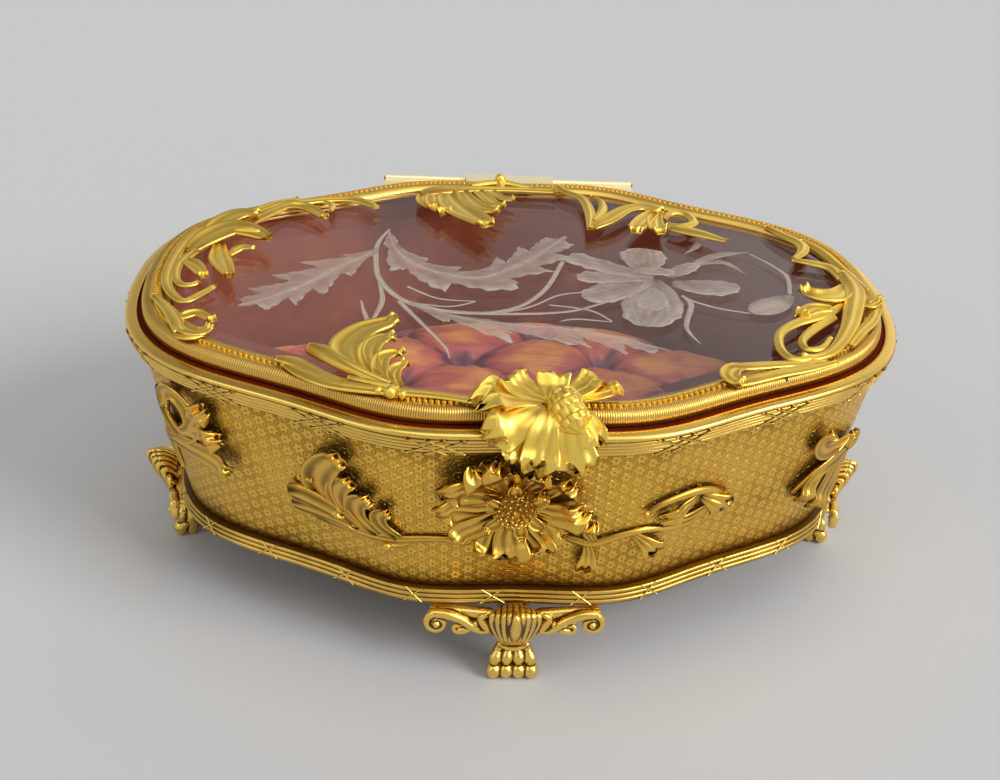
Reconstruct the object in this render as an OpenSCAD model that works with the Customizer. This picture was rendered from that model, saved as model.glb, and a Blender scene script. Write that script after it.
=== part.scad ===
// Glass-topped casket box in gilt metal, with a hinged lid, leaf mounts, paw feet and a tufted pad.
// Units are millimetres. The origin is at the bottom centre, between the feet.
// +Z is up, +X is to the right and the front faces -Y.

/* [Plan outline] */
// Length of the rim, left to right
body_l = 256; // [230:1:282]
// Width of the rim, front to back
body_w = 180; // [162:1:198]
// How far the four sides swell between their middles and the corners
side_swell = 0.019; // [0.005:0.001:0.025]
// How much the outline is drawn in at the four corners
corner_draw = 0.009; // [0:0.001:0.015]

/* [Heights] */
// Height of the plane where the lid meets the rim
joint_z = 100; // [92:1:108]
// Height of the feet, up to the underside of the base moulding
foot_h = 28; // [24:1:32]
// Height of the base moulding
base_h = 6; // [4:0.5:8]
// Height of the rim moulding
rim_h = 7.4; // [6:0.2:9]

/* [Wall] */
// Thickness of the stamped side band
wall_t = 1.3; // [0.8:0.1:2]
// How far the side band is set in below the rim at its top
wall_top_in = 4; // [3:0.5:5]
// How far the side band is set in at half height
wall_mid_in = 9.2; // [7:0.2:10]
// How far the side band is set in at the base moulding
wall_low_in = 15; // [13:0.5:16]
// Thickness of the silk-covered lining card
lining_t = 1.8; // [1.2:0.1:2.4]

/* [Lid] */
// Ledge left free on the rim outside the lid frame
ledge_w = 5.5; // [4.5:0.5:6]
// Width of the lid frame
frame_w = 9; // [8:0.5:11]
// Height of the lid frame
frame_h = 5; // [4:0.5:6]
// Width of the bevel round the glass
bevel_w = 6; // [4:0.5:8]
// Thickness of the glass
glass_t = 3.1; // [2.5:0.1:4]
// Thickness of the retaining strip under the glass
strip_t = 0.8; // [0.6:0.1:1.2]

/* [Hinge] */
// Length of the middle knuckle, on the lid
lid_knuckle_l = 34; // [28:1:40]
// Length of each outer knuckle, on the body
body_knuckle_l = 31; // [26:1:36]
// Outer radius of the hinge barrel
barrel_r = 1.5; // [1.3:0.1:1.8]
// Radius of the hinge pin
pin_r = 0.7; // [0.6:0.05:0.9]
// Angle of the lid, 0 when shut
lid_angle = 0; // [0:1:100]

/* [Pad] */
// Height of the pad's crown above its board
pad_crown = 18; // [14:1:22]
// Depth of the sewn tufts
tuft_depth = 7; // [4:0.5:9]
// Distance between tufts along the length
tuft_pitch_x = 53; // [44:1:60]
// Distance between tufts across the width
tuft_pitch_y = 40; // [34:1:46]

/* [Mounts] */
// Height of the ridge along each leaf
leaf_ridge = 1.6; // [1:0.1:2.5]
// Radius of the thistle head on the clasp
clasp_head_r = 5.2; // [4.6:0.1:6]
// Radius of the seed head on the front and back flowers
flower_head_r = 5.5; // [4.5:0.1:6]

/* [Show] */
// Which piece to draw

/* [Hidden] */
half_l = body_l / 2;
half_w = body_w / 2;
base_top_z = foot_h + base_h;
wall_top_z = joint_z - rim_h;
wall_mid_z = (base_top_z + wall_top_z) / 2;
base_in = wall_low_in - 3;
base_ledge_in = wall_low_in + 5;
rim_w = 9;
lid_gap = 0.4;
lid_z = joint_z + lid_gap;
lid_top_z = lid_z + frame_h;
glass_z = lid_z + strip_t;
glass_in = ledge_w + frame_w - 3.5;
frame_in = ledge_w + frame_w;
mount_z = lid_top_z + 0.1;
floor_t = 1.2;
board_t = 2;
plan_n = 60;
pad_n = 72;
pad_rings = 13;
hinge_y = half_w + 4.3;
hinge_z = joint_z + 0.6;
bore_r = pin_r + 0.05;
skirt_y = -half_w + 3;
skirt_r = 5;
pin_reach = 3;

// The outline: an ellipse whose radius swells beside each middle and is drawn in at the corners.
function plan_r(a) =
    (1 - corner_draw * (1 - cos(4 * a)) + side_swell * (1 - cos(8 * a)))
    / sqrt(pow(cos(a) / half_l, 2) + pow(sin(a) / half_w, 2));
function plan_at(a) = plan_r(a) * [cos(a), sin(a)];
function outward(a) =
    let (d = plan_at(a + 0.5) - plan_at(a - 0.5))
    [d[1], -d[0]] / norm(d);

// A point on the outline moved inward by the given distance, at height z.
function inset(a, in_by, z) =
    let (p = plan_at(a) - in_by * outward(a))
    [p[0], p[1], z];

// The side band's outer face is set in by this much at height z.
function wall_in(z) = lookup(z, [
    [base_top_z, wall_low_in],
    [wall_mid_z, wall_mid_in],
    [wall_top_z, wall_top_in]
]);

// Triangles between two rings of n points each, the second one further along the profile.
function band_faces(n, first, second) = [
    for (i = [0:n - 1], half = [0, 1])
        let (j = (i + 1) % n)
        half == 0
            ? [first + i, second + i, second + j]
            : [first + i, second + j, first + j]
];

// A closed profile of [inset, z] points carried once round the outline.
module ring(profile) {
    m = len(profile);
    points = [
        for (p = profile, i = [0:plan_n - 1])
            inset(i * 360 / plan_n, p[0], p[1])
    ];
    faces = [
        for (k = [0:m - 1], f = band_faces(plan_n, k * plan_n, ((k + 1) % m) * plan_n)) f
    ];
    polyhedron(points = points, faces = faces, convexity = 6);
}

// A solid plate whose edge follows [inset, z] points from its underside to its top.
module plate(profile) {
    m = len(profile);
    last = (m - 1) * plan_n;
    low = m * plan_n;
    points = concat(
        [for (p = profile, i = [0:plan_n - 1]) inset(i * 360 / plan_n, p[0], p[1])],
        [[0, 0, profile[0][1]], [0, 0, profile[m - 1][1]]]
    );
    faces = concat(
        [for (k = [0:m - 2], f = band_faces(plan_n, k * plan_n, (k + 1) * plan_n)) f],
        [for (i = [0:plan_n - 1]) [low, i, (i + 1) % plan_n]],
        [for (i = [0:plan_n - 1]) [low + 1, last + (i + 1) % plan_n, last + i]]
    );
    polyhedron(points = points, faces = faces, convexity = 4);
}

// Smooth curve through hand-placed stations, with steps between each two.
function curve(list, steps) = concat(
    [
        for (i = [0:len(list) - 2], s = [0:steps - 1])
            let (
                a = list[max(i - 1, 0)],
                b = list[i],
                c = list[i + 1],
                d = list[min(i + 2, len(list) - 1)],
                t = s / steps
            )
            0.5 * (2 * b + (c - a) * t + (2 * a - 5 * b + 4 * c - d) * t * t
                + (3 * b - 3 * c + d - a) * t * t * t)
    ],
    [list[len(list) - 1]]
);

// Turns along a long wall, looked up by the distance from its middle.
wall_turns = [for (t = [-60:4:60]) [inset(270 + t, wall_mid_in, 0)[0], t]];

// Where a leaf's point lies. On the lid it is [x, y], and past the front edge it bends down.
// On a long wall it is [x, z]. On an end wall it is [distance towards the front, z].
function on_lid(p, lift) =
    let (
        past = skirt_y - p[1],
        quarter = skirt_r * PI / 2,
        turn = min(max(past, 0), quarter) / skirt_r * 180 / PI,
        down = max(past - quarter, 0)
    )
    past <= 0
        ? [p[0], p[1], mount_z + lift]
        : [
            p[0],
            skirt_y - (skirt_r + lift) * sin(turn),
            mount_z - skirt_r + (skirt_r + lift) * cos(turn) - down
        ];
function on_wall(a, z, lift) = inset(a, wall_in(z) - 0.2 - lift, z);
function on_side(side, p, lift) =
    side == "lid" ? on_lid(p, lift)
    : side == "front" ? on_wall(270 + lookup(p[0], wall_turns), p[1], lift)
    : side == "back" ? on_wall(90 + lookup(p[0], wall_turns), p[1], lift)
    : side == "left" ? on_wall(180 + p[0] / 2.1, p[1], lift)
    : on_wall(-p[0] / 2.1, p[1], lift);

// One cast leaf: a ridged strip through stations of [a, b, lift, half width].
module leaf(side, stations, ridge = leaf_ridge) {
    s = curve(stations, side == "lid" ? 2 : 1);
    last = len(s) - 1;
    sections = [
        for (i = [0:last])
            let (
                d = s[min(i + 1, last)] - s[max(i - 1, 0)],
                n = [-d[1], d[0]] / norm([d[0], d[1]]),
                w = s[i][3],
                p = [s[i][0], s[i][1]],
                h = ridge * min(1, 0.35 + w / 4)
            )
            [
                on_side(side, p - n * w, s[i][2]),
                on_side(side, p, s[i][2] + h),
                on_side(side, p + n * w, s[i][2])
            ]
    ];
    for (i = [0:last - 1])
        hull()
            polyhedron(
                points = concat(sections[i], sections[i + 1]),
                faces = [[0, 1, 2, 3, 4, 5]]
            );
}

// A round bud or bead on a surface.
module bud(side, p, lift, r) {
    translate(on_side(side, p, lift))
        sphere(r = r, $fn = 6);
}

module side_band() {
    color("DarkGoldenrod")
        ring([
            [wall_low_in, base_top_z],
            [wall_mid_in, wall_mid_z],
            [wall_top_in, wall_top_z],
            [wall_top_in + wall_t, wall_top_z],
            [wall_mid_in + wall_t, wall_mid_z],
            [wall_low_in + wall_t, base_top_z]
        ]);
}

module rim_moulding() {
    color("Goldenrod")
        ring([
            [rim_w, wall_top_z],
            [2.6, wall_top_z],
            [0.8, wall_top_z + 1.6],
            [0.2, wall_top_z + 3.4],
            [0, joint_z - 0.9],
            [0.8, joint_z],
            [rim_w, joint_z]
        ]);
}

module base_moulding() {
    color("Goldenrod")
        ring([
            [base_ledge_in, foot_h],
            [base_in + 0.8, foot_h],
            [base_in, foot_h + 1],
            [base_in, foot_h + base_h * 0.66],
            [base_in + 1.2, base_top_z - 0.3],
            [base_in + 2.6, base_top_z],
            [base_ledge_in, base_top_z]
        ]);
}

module floor_plate() {
    color("Peru")
        plate([
            [wall_low_in + wall_t + 0.3, base_top_z],
            [wall_low_in + wall_t + 0.3, base_top_z + floor_t]
        ]);
}

// Foot coordinates: u along the outline, w outward from the base moulding, then z.
function foot_at(a, p) = inset(a + p[0] / (plan_r(a) * PI / 180), base_in - p[1], p[2]);

// One rounded stretch of a foot between balls of [u, w, z, radius].
module limb(a, balls) {
    hull()
        for (b = balls)
            translate(foot_at(a, b))
                sphere(r = b[3], $fn = 6);
}

// A paw with four toes, a fluted knee and a scroll bracket to each side.
module foot(a) {
    color("Gold")
        intersection() {
            union() {
                for (u = [-5.7, -1.9, 1.9, 5.7])
                    limb(a, [[u, 4.5, 2.1, 2.5], [u * 0.66, 0.6, 10.4, 2.4]]);
                limb(a, [[-3.6, -0.6, 3, 3], [3.6, -0.6, 3, 3], [-5, 2.4, 20, 2.6], [5, 2.4, 20, 2.6]]);
                limb(a, [[-4.8, 2, 19.6, 2.8], [4.8, 2, 19.6, 2.8], [-4.4, 8.6, 26, 2], [4.4, 8.6, 26, 2]]);
                limb(a, [[-4.4, 0, 18.6, 2.8], [4.4, 0, 18.6, 2.8], [-4, -5, 26, 3.4], [4, -5, 26, 3.4]]);
                for (s = [-1, 1]) {
                    limb(a, [[s * 5, 0.4, 20, 2.4], [s * 15, -1.2, 21.8, 2]]);
                    limb(a, [[s * 14, -1.2, 21.6, 2], [s * 22, -1.2, 26, 1.8]]);
                    limb(a, [[s * 20.6, -1.2, 25.4, 2], [s * 28, -1.2, 24.6, 3]]);
                }
            }
            translate([-body_l, -body_l, 0])
                cube([body_l * 2, body_l * 2, foot_h]);
        }
}

module foot_front() {
    foot(270);
}

module foot_back() {
    foot(90);
}

module foot_left() {
    foot(180);
}

module foot_right() {
    foot(0);
}

// Two screws to each foot, their heads sunk in the floor plate.
module foot_screws() {
    shank_r = 1.1;
    head_r = 1.7;
    head_h = 1;
    bite = 6;
    length = bite + base_h + floor_t;
    color("Silver")
        for (a = [0, 90, 180, 270], u = [-3.6, 3.6])
            translate(foot_at(a, [u, -6.4, foot_h - bite])) {
                cylinder(h = length, r = shank_r, $fn = 24);
                translate([0, 0, length - head_h])
                    cylinder(h = head_h, r = head_r, $fn = 24);
            }
}

// A full-blown flower of ruffled petals round a seed head.
module wall_flower(side) {
    color("Gold") {
        leaf(side, [[-4, 74, 0.8, 3], [-12, 82, 2, 5.4], [-17, 88, 3.2, 3]]);
        leaf(side, [[-3, 74, 0.8, 2.4], [-7, 83, 2.2, 4.4], [-9, 90, 3, 2.4]]);
        leaf(side, [[-4, 73, 0.8, 2.6], [-16, 76, 2, 4.6], [-24, 79, 3, 2.6]]);
        leaf(side, [[-4, 71, 0.8, 2.6], [-16, 71, 1.6, 3.4], [-24, 71, 2.4, 2.2]]);
        leaf(side, [[-4, 70, 0.8, 2.6], [-13, 63, 1.4, 3.2], [-20, 60, 1.6, 1.8]]);
        leaf(side, [[-3, 68, 0.8, 2.4], [-8, 58, 1.6, 3.6], [-11, 53, 2, 2.2]]);
        leaf(side, [[-2, 68, 0.8, 2.6], [-3, 58, 1.6, 4], [-3, 51, 2.2, 2.6]]);
        leaf(side, [[0, 68, 0.8, 2.4], [4, 59, 1.6, 3.6], [8, 54, 2.2, 2.2]]);
        leaf(side, [[1, 69, 0.8, 2.4], [8, 64, 1.6, 3.2], [13, 62, 2, 2]]);
        leaf(side, [[1, 71, 0.8, 3], [11, 71, 2, 4.6], [18, 72, 2.8, 2.8]]);
        leaf(side, [[1, 73, 0.8, 2.6], [9, 79, 1.8, 3.6], [15, 81, 2.6, 2.2]]);
        leaf(side, [[-1, 74, 0.8, 2.6], [3, 82, 2, 3.6], [5, 87, 2.6, 2.2]]);
    }
}

// A domed head of stamens, standing square to the sloping wall.
module seed_head(side, x, z) {
    slope = atan((wall_mid_in - wall_top_in) / (wall_top_z - wall_mid_z));
    turn = side == "front" ? 0 : 180;
    translate(on_side(side, [x, z], 1.4))
        rotate([0, 0, turn])
            rotate([90 + slope, 0, 0])
                rotate_extrude($fn = 32)
                    polygon([
                        [0, 0],
                        [flower_head_r, 0],
                        [flower_head_r * 1.05, 1.6],
                        [flower_head_r * 0.8, 3.4],
                        [flower_head_r * 0.42, 3],
                        [flower_head_r * 0.24, 4.6],
                        [0, 5.2]
                    ]);
}

// Acanthus spray with a tubular bud, a fan of lobes and a beaded twig.
module wall_sprig_left(side) {
    color("Gold") {
        leaf(side, [[-71, 59, 0.6, 3], [-65, 62, 1.4, 4], [-57, 60, 0.8, 2.6]], 2.6);
        leaf(side, [[-69, 56, 0.3, 1.4], [-60, 54, 0.4, 2], [-50, 52.6, 0.4, 2], [-40, 53, 0.4, 1.7],
            [-29, 55.4, 0.4, 1.4], [-17, 56, 0.4, 1]]);
        leaf(side, [[-54, 54, 0.2, 2.6], [-59, 64, 0.6, 4.4], [-58, 74, 1.6, 4.6], [-51, 84, 2.6, 2.4]]);
        leaf(side, [[-49, 54, 0.2, 2], [-54, 65, 0.8, 3], [-49, 75, 2, 1.8]]);
        leaf(side, [[-44, 54, 0.2, 2.4], [-49, 62, 0.8, 3.4], [-44, 70, 2, 1.8]]);
        leaf(side, [[-37, 54, 0.2, 2], [-42, 60, 0.6, 2.6], [-39, 66, 1.6, 1.4]]);
        leaf(side, [[-31, 55, 0.3, 0.8], [-36, 51.4, 0.4, 0.9], [-41, 50, 0.4, 1.2]]);
        bud(side, [-41, 50], 1.5, 1.6);
    }
}

// Trailing spray with a drooping leaf and an open eye of scrollwork.
module wall_sprig_right(side) {
    color("Gold") {
        leaf(side, [[14, 57, 0.4, 1], [22, 54.8, 0.4, 1.6], [31, 57.6, 0.4, 1.4], [39, 58.6, 0.4, 1.3],
            [47, 57, 0.4, 1.3], [54, 56, 0.5, 1.5], [60, 59.6, 0.6, 1.6]]);
        leaf(side, [[21, 56, 0.3, 1.8], [22, 50, 0.9, 2.6], [21, 43, 1.2, 0.8]]);
        leaf(side, [[24, 54.6, 0.3, 1.4], [21.6, 60, 1, 1.8], [23, 65, 1.4, 0.8]]);
        leaf(side, [[34.6, 59.4, 0.3, 1.6], [40, 53, 0.7, 2.4], [45, 48, 1.2, 1.6]]);
        bud(side, [39, 66.2], 1.5, 1.6);
        leaf(side, [[39.4, 65.4, 0.4, 1], [45, 70, 0.5, 1.8], [53.6, 72.2, 0.7, 1.9], [61, 70, 0.8, 1.8],
            [66, 64, 1, 2.4], [71, 56, 1, 0.7]]);
        leaf(side, [[38.2, 66.9, 0.3, 1.1], [46, 62.4, 0.5, 2.4], [54, 59, 0.6, 2.2], [61, 60, 0.7, 2],
            [66, 66, 0.9, 1.8]]);
    }
}

module front_flower() {
    wall_flower("front");
}

module front_seed_head() {
    color("Khaki")
        seed_head("front", -2, 71.5);
}

module front_sprig_left() {
    wall_sprig_left("front");
}

module front_sprig_right() {
    wall_sprig_right("front");
}

module back_flower() {
    wall_flower("back");
}

module back_seed_head() {
    color("Khaki")
        seed_head("back", -2, 71.5);
}

module back_sprig_left() {
    wall_sprig_left("back");
}

module back_sprig_right() {
    wall_sprig_right("back");
}

// Shell scroll with three lobes and a hanging leaf, one on each corner of the left end.
module left_corner_mounts() {
    side = "left";
    color("Gold")
        for (m = [1, -1]) {
            leaf(side, [[m * 40, 91, 0.4, 1], [m * 41, 81, 0.8, 1.8], [m * 45, 72, 1, 2.2],
                [m * 53, 71, 1.2, 2], [m * 58, 79, 1.4, 2], [m * 54, 87, 1.4, 2], [m * 47, 84, 1.2, 1.6],
                [m * 48, 78, 1, 1.2]]);
            leaf(side, [[m * 54, 74, 0.6, 2], [m * 60, 82, 1.6, 2.8], [m * 65, 88, 2, 1.2]]);
            leaf(side, [[m * 53, 71, 0.6, 2.4], [m * 61, 76, 1.6, 3.6], [m * 68, 76, 2, 1.4]]);
            leaf(side, [[m * 34, 62, 0.4, 1.6], [m * 44, 65, 0.8, 2.6], [m * 54, 66, 1.2, 3.4],
                [m * 63, 68, 1.6, 3], [m * 71, 64, 1.8, 1.2]]);
            leaf(side, [[m * 44, 73, 0.6, 2], [m * 36, 63, 0.6, 2], [m * 34, 54, 0.4, 1.8],
                [m * 36, 43, 0.3, 0.7]]);
        }
}

// Curled ribbon over a broad folded leaf, one on each corner of the right end.
module right_corner_mounts() {
    side = "right";
    color("Gold")
        for (m = [1, -1]) {
            leaf(side, [[m * 68, 56, 1, 1.2], [m * 61, 62.5, 1.4, 2], [m * 53, 65, 1.4, 2.2],
                [m * 45, 68, 1.2, 2], [m * 40, 72, 1, 1.6], [m * 38, 82, 0.6, 1.4], [m * 40, 91, 0.4, 1]]);
            leaf(side, [[m * 42.2, 68.2, 0.9, 1.9], [m * 52, 72.4, 1.2, 2.6],
                [m * 63, 73, 1.8, 1.8], [m * 60, 80, 1.6, 1.6]]);
            leaf(side, [[m * 52, 66.4, 0.5, 2.2], [m * 61, 59, 1, 3.4], [m * 63, 51, 1.2, 1.4]]);
            leaf(side, [[m * 47.6, 68.2, 0.5, 2.4], [m * 51, 55, 1, 4], [m * 56, 44, 1.2, 1.6]]);
            leaf(side, [[m * 42.6, 70.4, 0.7, 2.1], [m * 41, 57, 0.8, 3.4], [m * 43, 47, 0.8, 3],
                [m * 44, 37, 0.6, 1]]);
        }
}

// Short pins that hold the wall mounts, driven through the side band.
module wall_mount_pins() {
    color("Silver")
        for (p = [
            ["front", -2, 71.5], ["front", -58, 72], ["front", -50, 52.6], ["front", 22, 54.8],
            ["front", 54, 72.4], ["back", -2, 71.5], ["back", -58, 72], ["back", -50, 52.6],
            ["back", 22, 54.8], ["back", 54, 72.4], ["left", 44, 65], ["left", 58, 79],
            ["left", -44, 65], ["left", -58, 79], ["right", 53, 65], ["right", 41, 57],
            ["right", -53, 65], ["right", -41, 57]
        ])
            let (
                start = on_side(p[0], [p[1], p[2]], 0.9),
                way = on_side(p[0], [p[1], p[2]], 0) - start
            )
                translate(start)
                    rotate([0, 90, atan2(way[1], way[0])])
                        cylinder(h = pin_reach, r = 0.5, $fn = 20);
}

module lining_board() {
    in_by = wall_low_in + wall_t + lining_t + 1;
    low = base_top_z + floor_t;
    color("SaddleBrown")
        plate([[in_by, low], [in_by, low + board_t]]);
}

module lining_wall() {
    low = base_top_z + floor_t;
    foot_in = wall_low_in + wall_t + 0.7;
    top_in = rim_w + 0.4;
    color("Maroon")
        ring([
            [foot_in, low],
            [top_in, wall_top_z - 2.6],
            [top_in, joint_z - 0.8],
            [top_in + lining_t, joint_z - 0.8],
            [top_in + lining_t, wall_top_z - 2.6],
            [foot_in + lining_t, low]
        ]);
}

// How far the pad is drawn down at a point: creases between tufts, and a hollow at each one.
function tuft_dip(x, y) =
    let (
        u = 180 * ((x + 16) / tuft_pitch_x + (y - 30) / tuft_pitch_y),
        v = 180 * ((x + 16) / tuft_pitch_x - (y - 30) / tuft_pitch_y),
        crease = 1 - pow(abs(sin(u) * sin(v)), 0.35),
        hollow = pow(abs(cos(u) * cos(v)), 5)
    )
    tuft_depth * (0.42 * crease + 0.58 * hollow);

// The pad: a crowned, tufted cushion whose sides are drawn in towards its seam.
module cushion() {
    low = base_top_z + floor_t + board_t + 0.1;
    edge_in = wall_low_in + wall_t + lining_t + 0.9;
    sides = [
        [edge_in + 2.6, low],
        [edge_in + 0.2, low + pad_crown * 0.22],
        [edge_in, low + pad_crown * 0.42],
        [edge_in + 1.6, low + pad_crown * 0.6]
    ];
    rings = pad_rings;
    top_points = [
        for (k = [1:rings - 1], i = [0:pad_n - 1])
            let (
                a = i * 360 / pad_n,
                s = 1 - k / rings,
                e = inset(a, edge_in + 1.6, 0),
                x = e[0] * s,
                y = e[1] * s,
                swell = low + pad_crown * (0.6 + 0.4 * (1 - pow(s, 5)))
            )
            [x, y, swell - tuft_dip(x, y) * min(1, (1 - s) * 5)]
    ];
    points = concat(
        [for (p = sides, i = [0:pad_n - 1]) inset(i * 360 / pad_n, p[0], p[1])],
        top_points,
        [[0, 0, low], [0, 0, low + pad_crown - tuft_dip(0, 0)]]
    );
    loops = len(sides) + rings - 1;
    under = loops * pad_n;
    last = (loops - 1) * pad_n;
    faces = concat(
        [for (k = [0:loops - 2], f = band_faces(pad_n, k * pad_n, (k + 1) * pad_n)) f],
        [for (i = [0:pad_n - 1]) [under, i, (i + 1) % pad_n]],
        [for (i = [0:pad_n - 1]) [under + 1, last + (i + 1) % pad_n, last + i]]
    );
    color("IndianRed")
        polyhedron(points = points, faces = faces, convexity = 8);
}

// One bored hinge knuckle along X.
module knuckle(x0, length) {
    translate([x0, hinge_y, hinge_z])
        rotate([0, 90, 0])
            difference() {
                cylinder(h = length, r = barrel_r, $fn = 48);
                translate([0, 0, -1])
                    cylinder(h = length + 2, r = bore_r, $fn = 48);
            }
}

// A bar from the barrel towards the box, cut clear of the bore.
module hinge_bar(x0, length, y0, z0, height) {
    difference() {
        translate([x0, y0, z0])
            cube([length, hinge_y - y0, height]);
        translate([x0 - 1, hinge_y, hinge_z])
            rotate([0, 90, 0])
                cylinder(h = length + 2, r = bore_r, $fn = 48);
    }
}

module hinge_body_leaves() {
    gap = 0.3;
    x0 = lid_knuckle_l / 2 + gap;
    leaf_y = half_w - ledge_w + 1.1;
    color("LightGoldenrodYellow")
        for (start = [-x0 - body_knuckle_l, x0])
            union() {
                knuckle(start, body_knuckle_l);
                hinge_bar(start, body_knuckle_l, leaf_y, joint_z, 0.8);
            }
}

module hinge_pin() {
    overhang = 0.6;
    length = lid_knuckle_l + 2 * body_knuckle_l + 0.6 + 2 * overhang;
    color("Silver")
        translate([-length / 2, hinge_y, hinge_z])
            rotate([0, 90, 0])
                cylinder(h = length, r = pin_r, $fn = 48);
}

module hinge_body_screws() {
    color("Silver")
        for (x = [-42, -24, 24, 42])
            translate([x, half_w - 2.6, joint_z - 4]) {
                cylinder(h = 4.8, r = 0.6, $fn = 24);
                translate([0, 0, 4.8])
                    cylinder(h = 0.4, r = 1.1, $fn = 24);
            }
}

module hinge_lid_leaf() {
    leaf_y = half_w - ledge_w + 0.6;
    color("LightGoldenrodYellow")
        union() {
            knuckle(-lid_knuckle_l / 2, lid_knuckle_l);
            hinge_bar(-lid_knuckle_l / 2, lid_knuckle_l, leaf_y, joint_z + 0.9, 2.4);
        }
}

module hinge_lid_pins() {
    length = 5;
    color("Silver")
        for (x = [-12, 12])
            translate([x, half_w - ledge_w - 2.4, lid_z + 1.5])
                rotate([-90, 0, 0])
                    cylinder(h = length, r = 0.6, $fn = 24);
}

module lid_frame() {
    lip_z = glass_z + glass_t * 0.55;
    color("Goldenrod")
        ring([
            [glass_in - 0.2, lid_z],
            [ledge_w, lid_z],
            [ledge_w, lid_z + frame_h * 0.52],
            [ledge_w + 1.1, lid_z + frame_h * 0.86],
            [ledge_w + 3.1, lid_top_z],
            [ledge_w + 6, lid_top_z - 0.4],
            [frame_in, lid_top_z - 1.2],
            [frame_in, lip_z + 0.1],
            [glass_in - 0.2, lip_z + 0.1]
        ]);
}

module glass_pane() {
    edge_z = glass_z + glass_t * 0.55;
    color("RosyBrown", 0.5)
        plate([
            [glass_in, glass_z],
            [glass_in, edge_z],
            [frame_in + 0.3, edge_z],
            [frame_in + bevel_w, glass_z + glass_t]
        ]);
}

module glass_strip() {
    color("Goldenrod")
        ring([
            [glass_in + 4.6, lid_z],
            [glass_in, lid_z],
            [glass_in, glass_z],
            [glass_in + 4.6, glass_z]
        ]);
}

// Broad ruffled flower on the front of the lid, whose lower petals hang over the rim.
module clasp_flower() {
    side = "lid";
    color("Gold") {
        leaf(side, [[6, -84.4, 0.8, 3], [0, -85.6, 1.4, 5.4], [-7, -87.6, 1.6, 5.8], [-13, -88.4, 1, 3]]);
        leaf(side, [[6.4, -82.6, 0.7, 2.6], [0, -79, 1.6, 4.2], [-4, -74.6, 2.2, 2.6]]);
        leaf(side, [[7.4, -81.6, 0.8, 2.6], [6.4, -77, 1.8, 3.8], [6, -72, 2.6, 2.4]]);
        leaf(side, [[8.8, -81.4, 0.7, 2.6], [12, -76, 1.8, 3.8], [14, -71, 2.6, 2.4]]);
        leaf(side, [[10.2, -82.4, 0.8, 2.4], [18, -79, 1.6, 3.6], [24, -76, 2, 2]]);
        leaf(side, [[10.6, -84.2, 0.7, 2.4], [20, -84.6, 1.2, 2.8], [28, -84, 1.4, 1.6]]);
        leaf(side, [[6.4, -85.2, 0.6, 3.4], [0, -92, 0.8, 4], [-4, -98, 1, 4], [-6, -102.6, 1.4, 2.2]]);
        leaf(side, [[7.6, -85.8, 0.5, 3.4], [4, -93, 0.8, 4], [2.4, -99, 1, 4], [1, -104, 1.6, 2.6]]);
        leaf(side, [[9.2, -85.6, 0.6, 3.4], [11.6, -93, 0.8, 4.4], [13.6, -99, 1, 4.4],
            [14.4, -104.6, 1.6, 2.8]]);
        leaf(side, [[10.4, -85, 0.5, 3], [16.6, -92, 0.8, 3.8], [20.4, -98, 1, 3.2],
            [22.6, -102.4, 1.4, 1.8]]);
        bud(side, [8.3, -83.7], 2.7, 2.8);
    }
}

// Thistle head on the clasp, lying forward and to the right.
module clasp_seed_head() {
    color("Khaki")
        translate([8.6, -82, mount_z + clasp_head_r + 0.3])
            rotate([0, 90, -62])
                rotate_extrude($fn = 36)
                    polygon([
                        [0, 0],
                        [clasp_head_r * 0.6, 0],
                        [clasp_head_r * 0.92, 2.5],
                        [clasp_head_r, 6],
                        [clasp_head_r * 0.87, 10],
                        [clasp_head_r * 0.95, 11.4],
                        [clasp_head_r * 0.82, 13],
                        [clasp_head_r * 0.46, 14.6],
                        [0, 15.6]
                    ]);
}

module lid_leaf_front() {
    side = "lid";
    color("Gold") {
        leaf(side, [[-72, -61, 0.2, 0.8], [-66, -67, 0.4, 2], [-57, -73, 0.4, 2.2], [-46, -76, 0.4, 1.8],
            [-36, -77.4, 0.5, 1.6], [-25, -79, 0.6, 1.4], [-14, -82, 0.8, 1.2]]);
        leaf(side, [[-64, -55, 0.4, 1.6], [-57, -61, 0.8, 2.4], [-48, -69, 0.6, 1.8],
            [-40, -74, 0.4, 1.4]], 2.4);
        leaf(side, [[-44, -71, 0.2, 2.4], [-50, -62, 0.8, 3.8], [-51, -53, 1.4, 4.2], [-46, -44, 2, 3.4],
            [-38, -39, 2.6, 1.8]]);
        leaf(side, [[-42, -72, 0.2, 2], [-46, -62, 0.8, 2.8], [-45, -54, 1.6, 2.6], [-39, -50, 2.2, 1.4]]);
        leaf(side, [[-39, -73, 0.2, 1.8], [-43, -66, 0.8, 2.4], [-41, -60, 1.4, 2], [-36, -59, 2, 1.2]]);
        leaf(side, [[-36, -75, 0.2, 1.6], [-38.6, -70, 0.6, 2], [-37, -65, 1.2, 1.6],
            [-33, -63.6, 1.6, 0.9]]);
        bud(side, [-39, -79], 2, 2);
    }
}

module lid_leaf_left() {
    side = "lid";
    color("Gold") {
        leaf(side, [[-117, -20, 0.3, 1.2], [-111, -29, 0.6, 1.8], [-106, -38, 0.8, 2.6],
            [-104, -46, 0.6, 1.6]]);
        leaf(side, [[-107, -36, 0.4, 1.4], [-101, -35, 0.8, 1.8], [-94, -39, 1.2, 1.2]]);
        leaf(side, [[-104, -43, 0.4, 1.8], [-99, -46, 0.8, 1.8], [-95, -43, 1.2, 1]]);
    }
}

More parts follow.
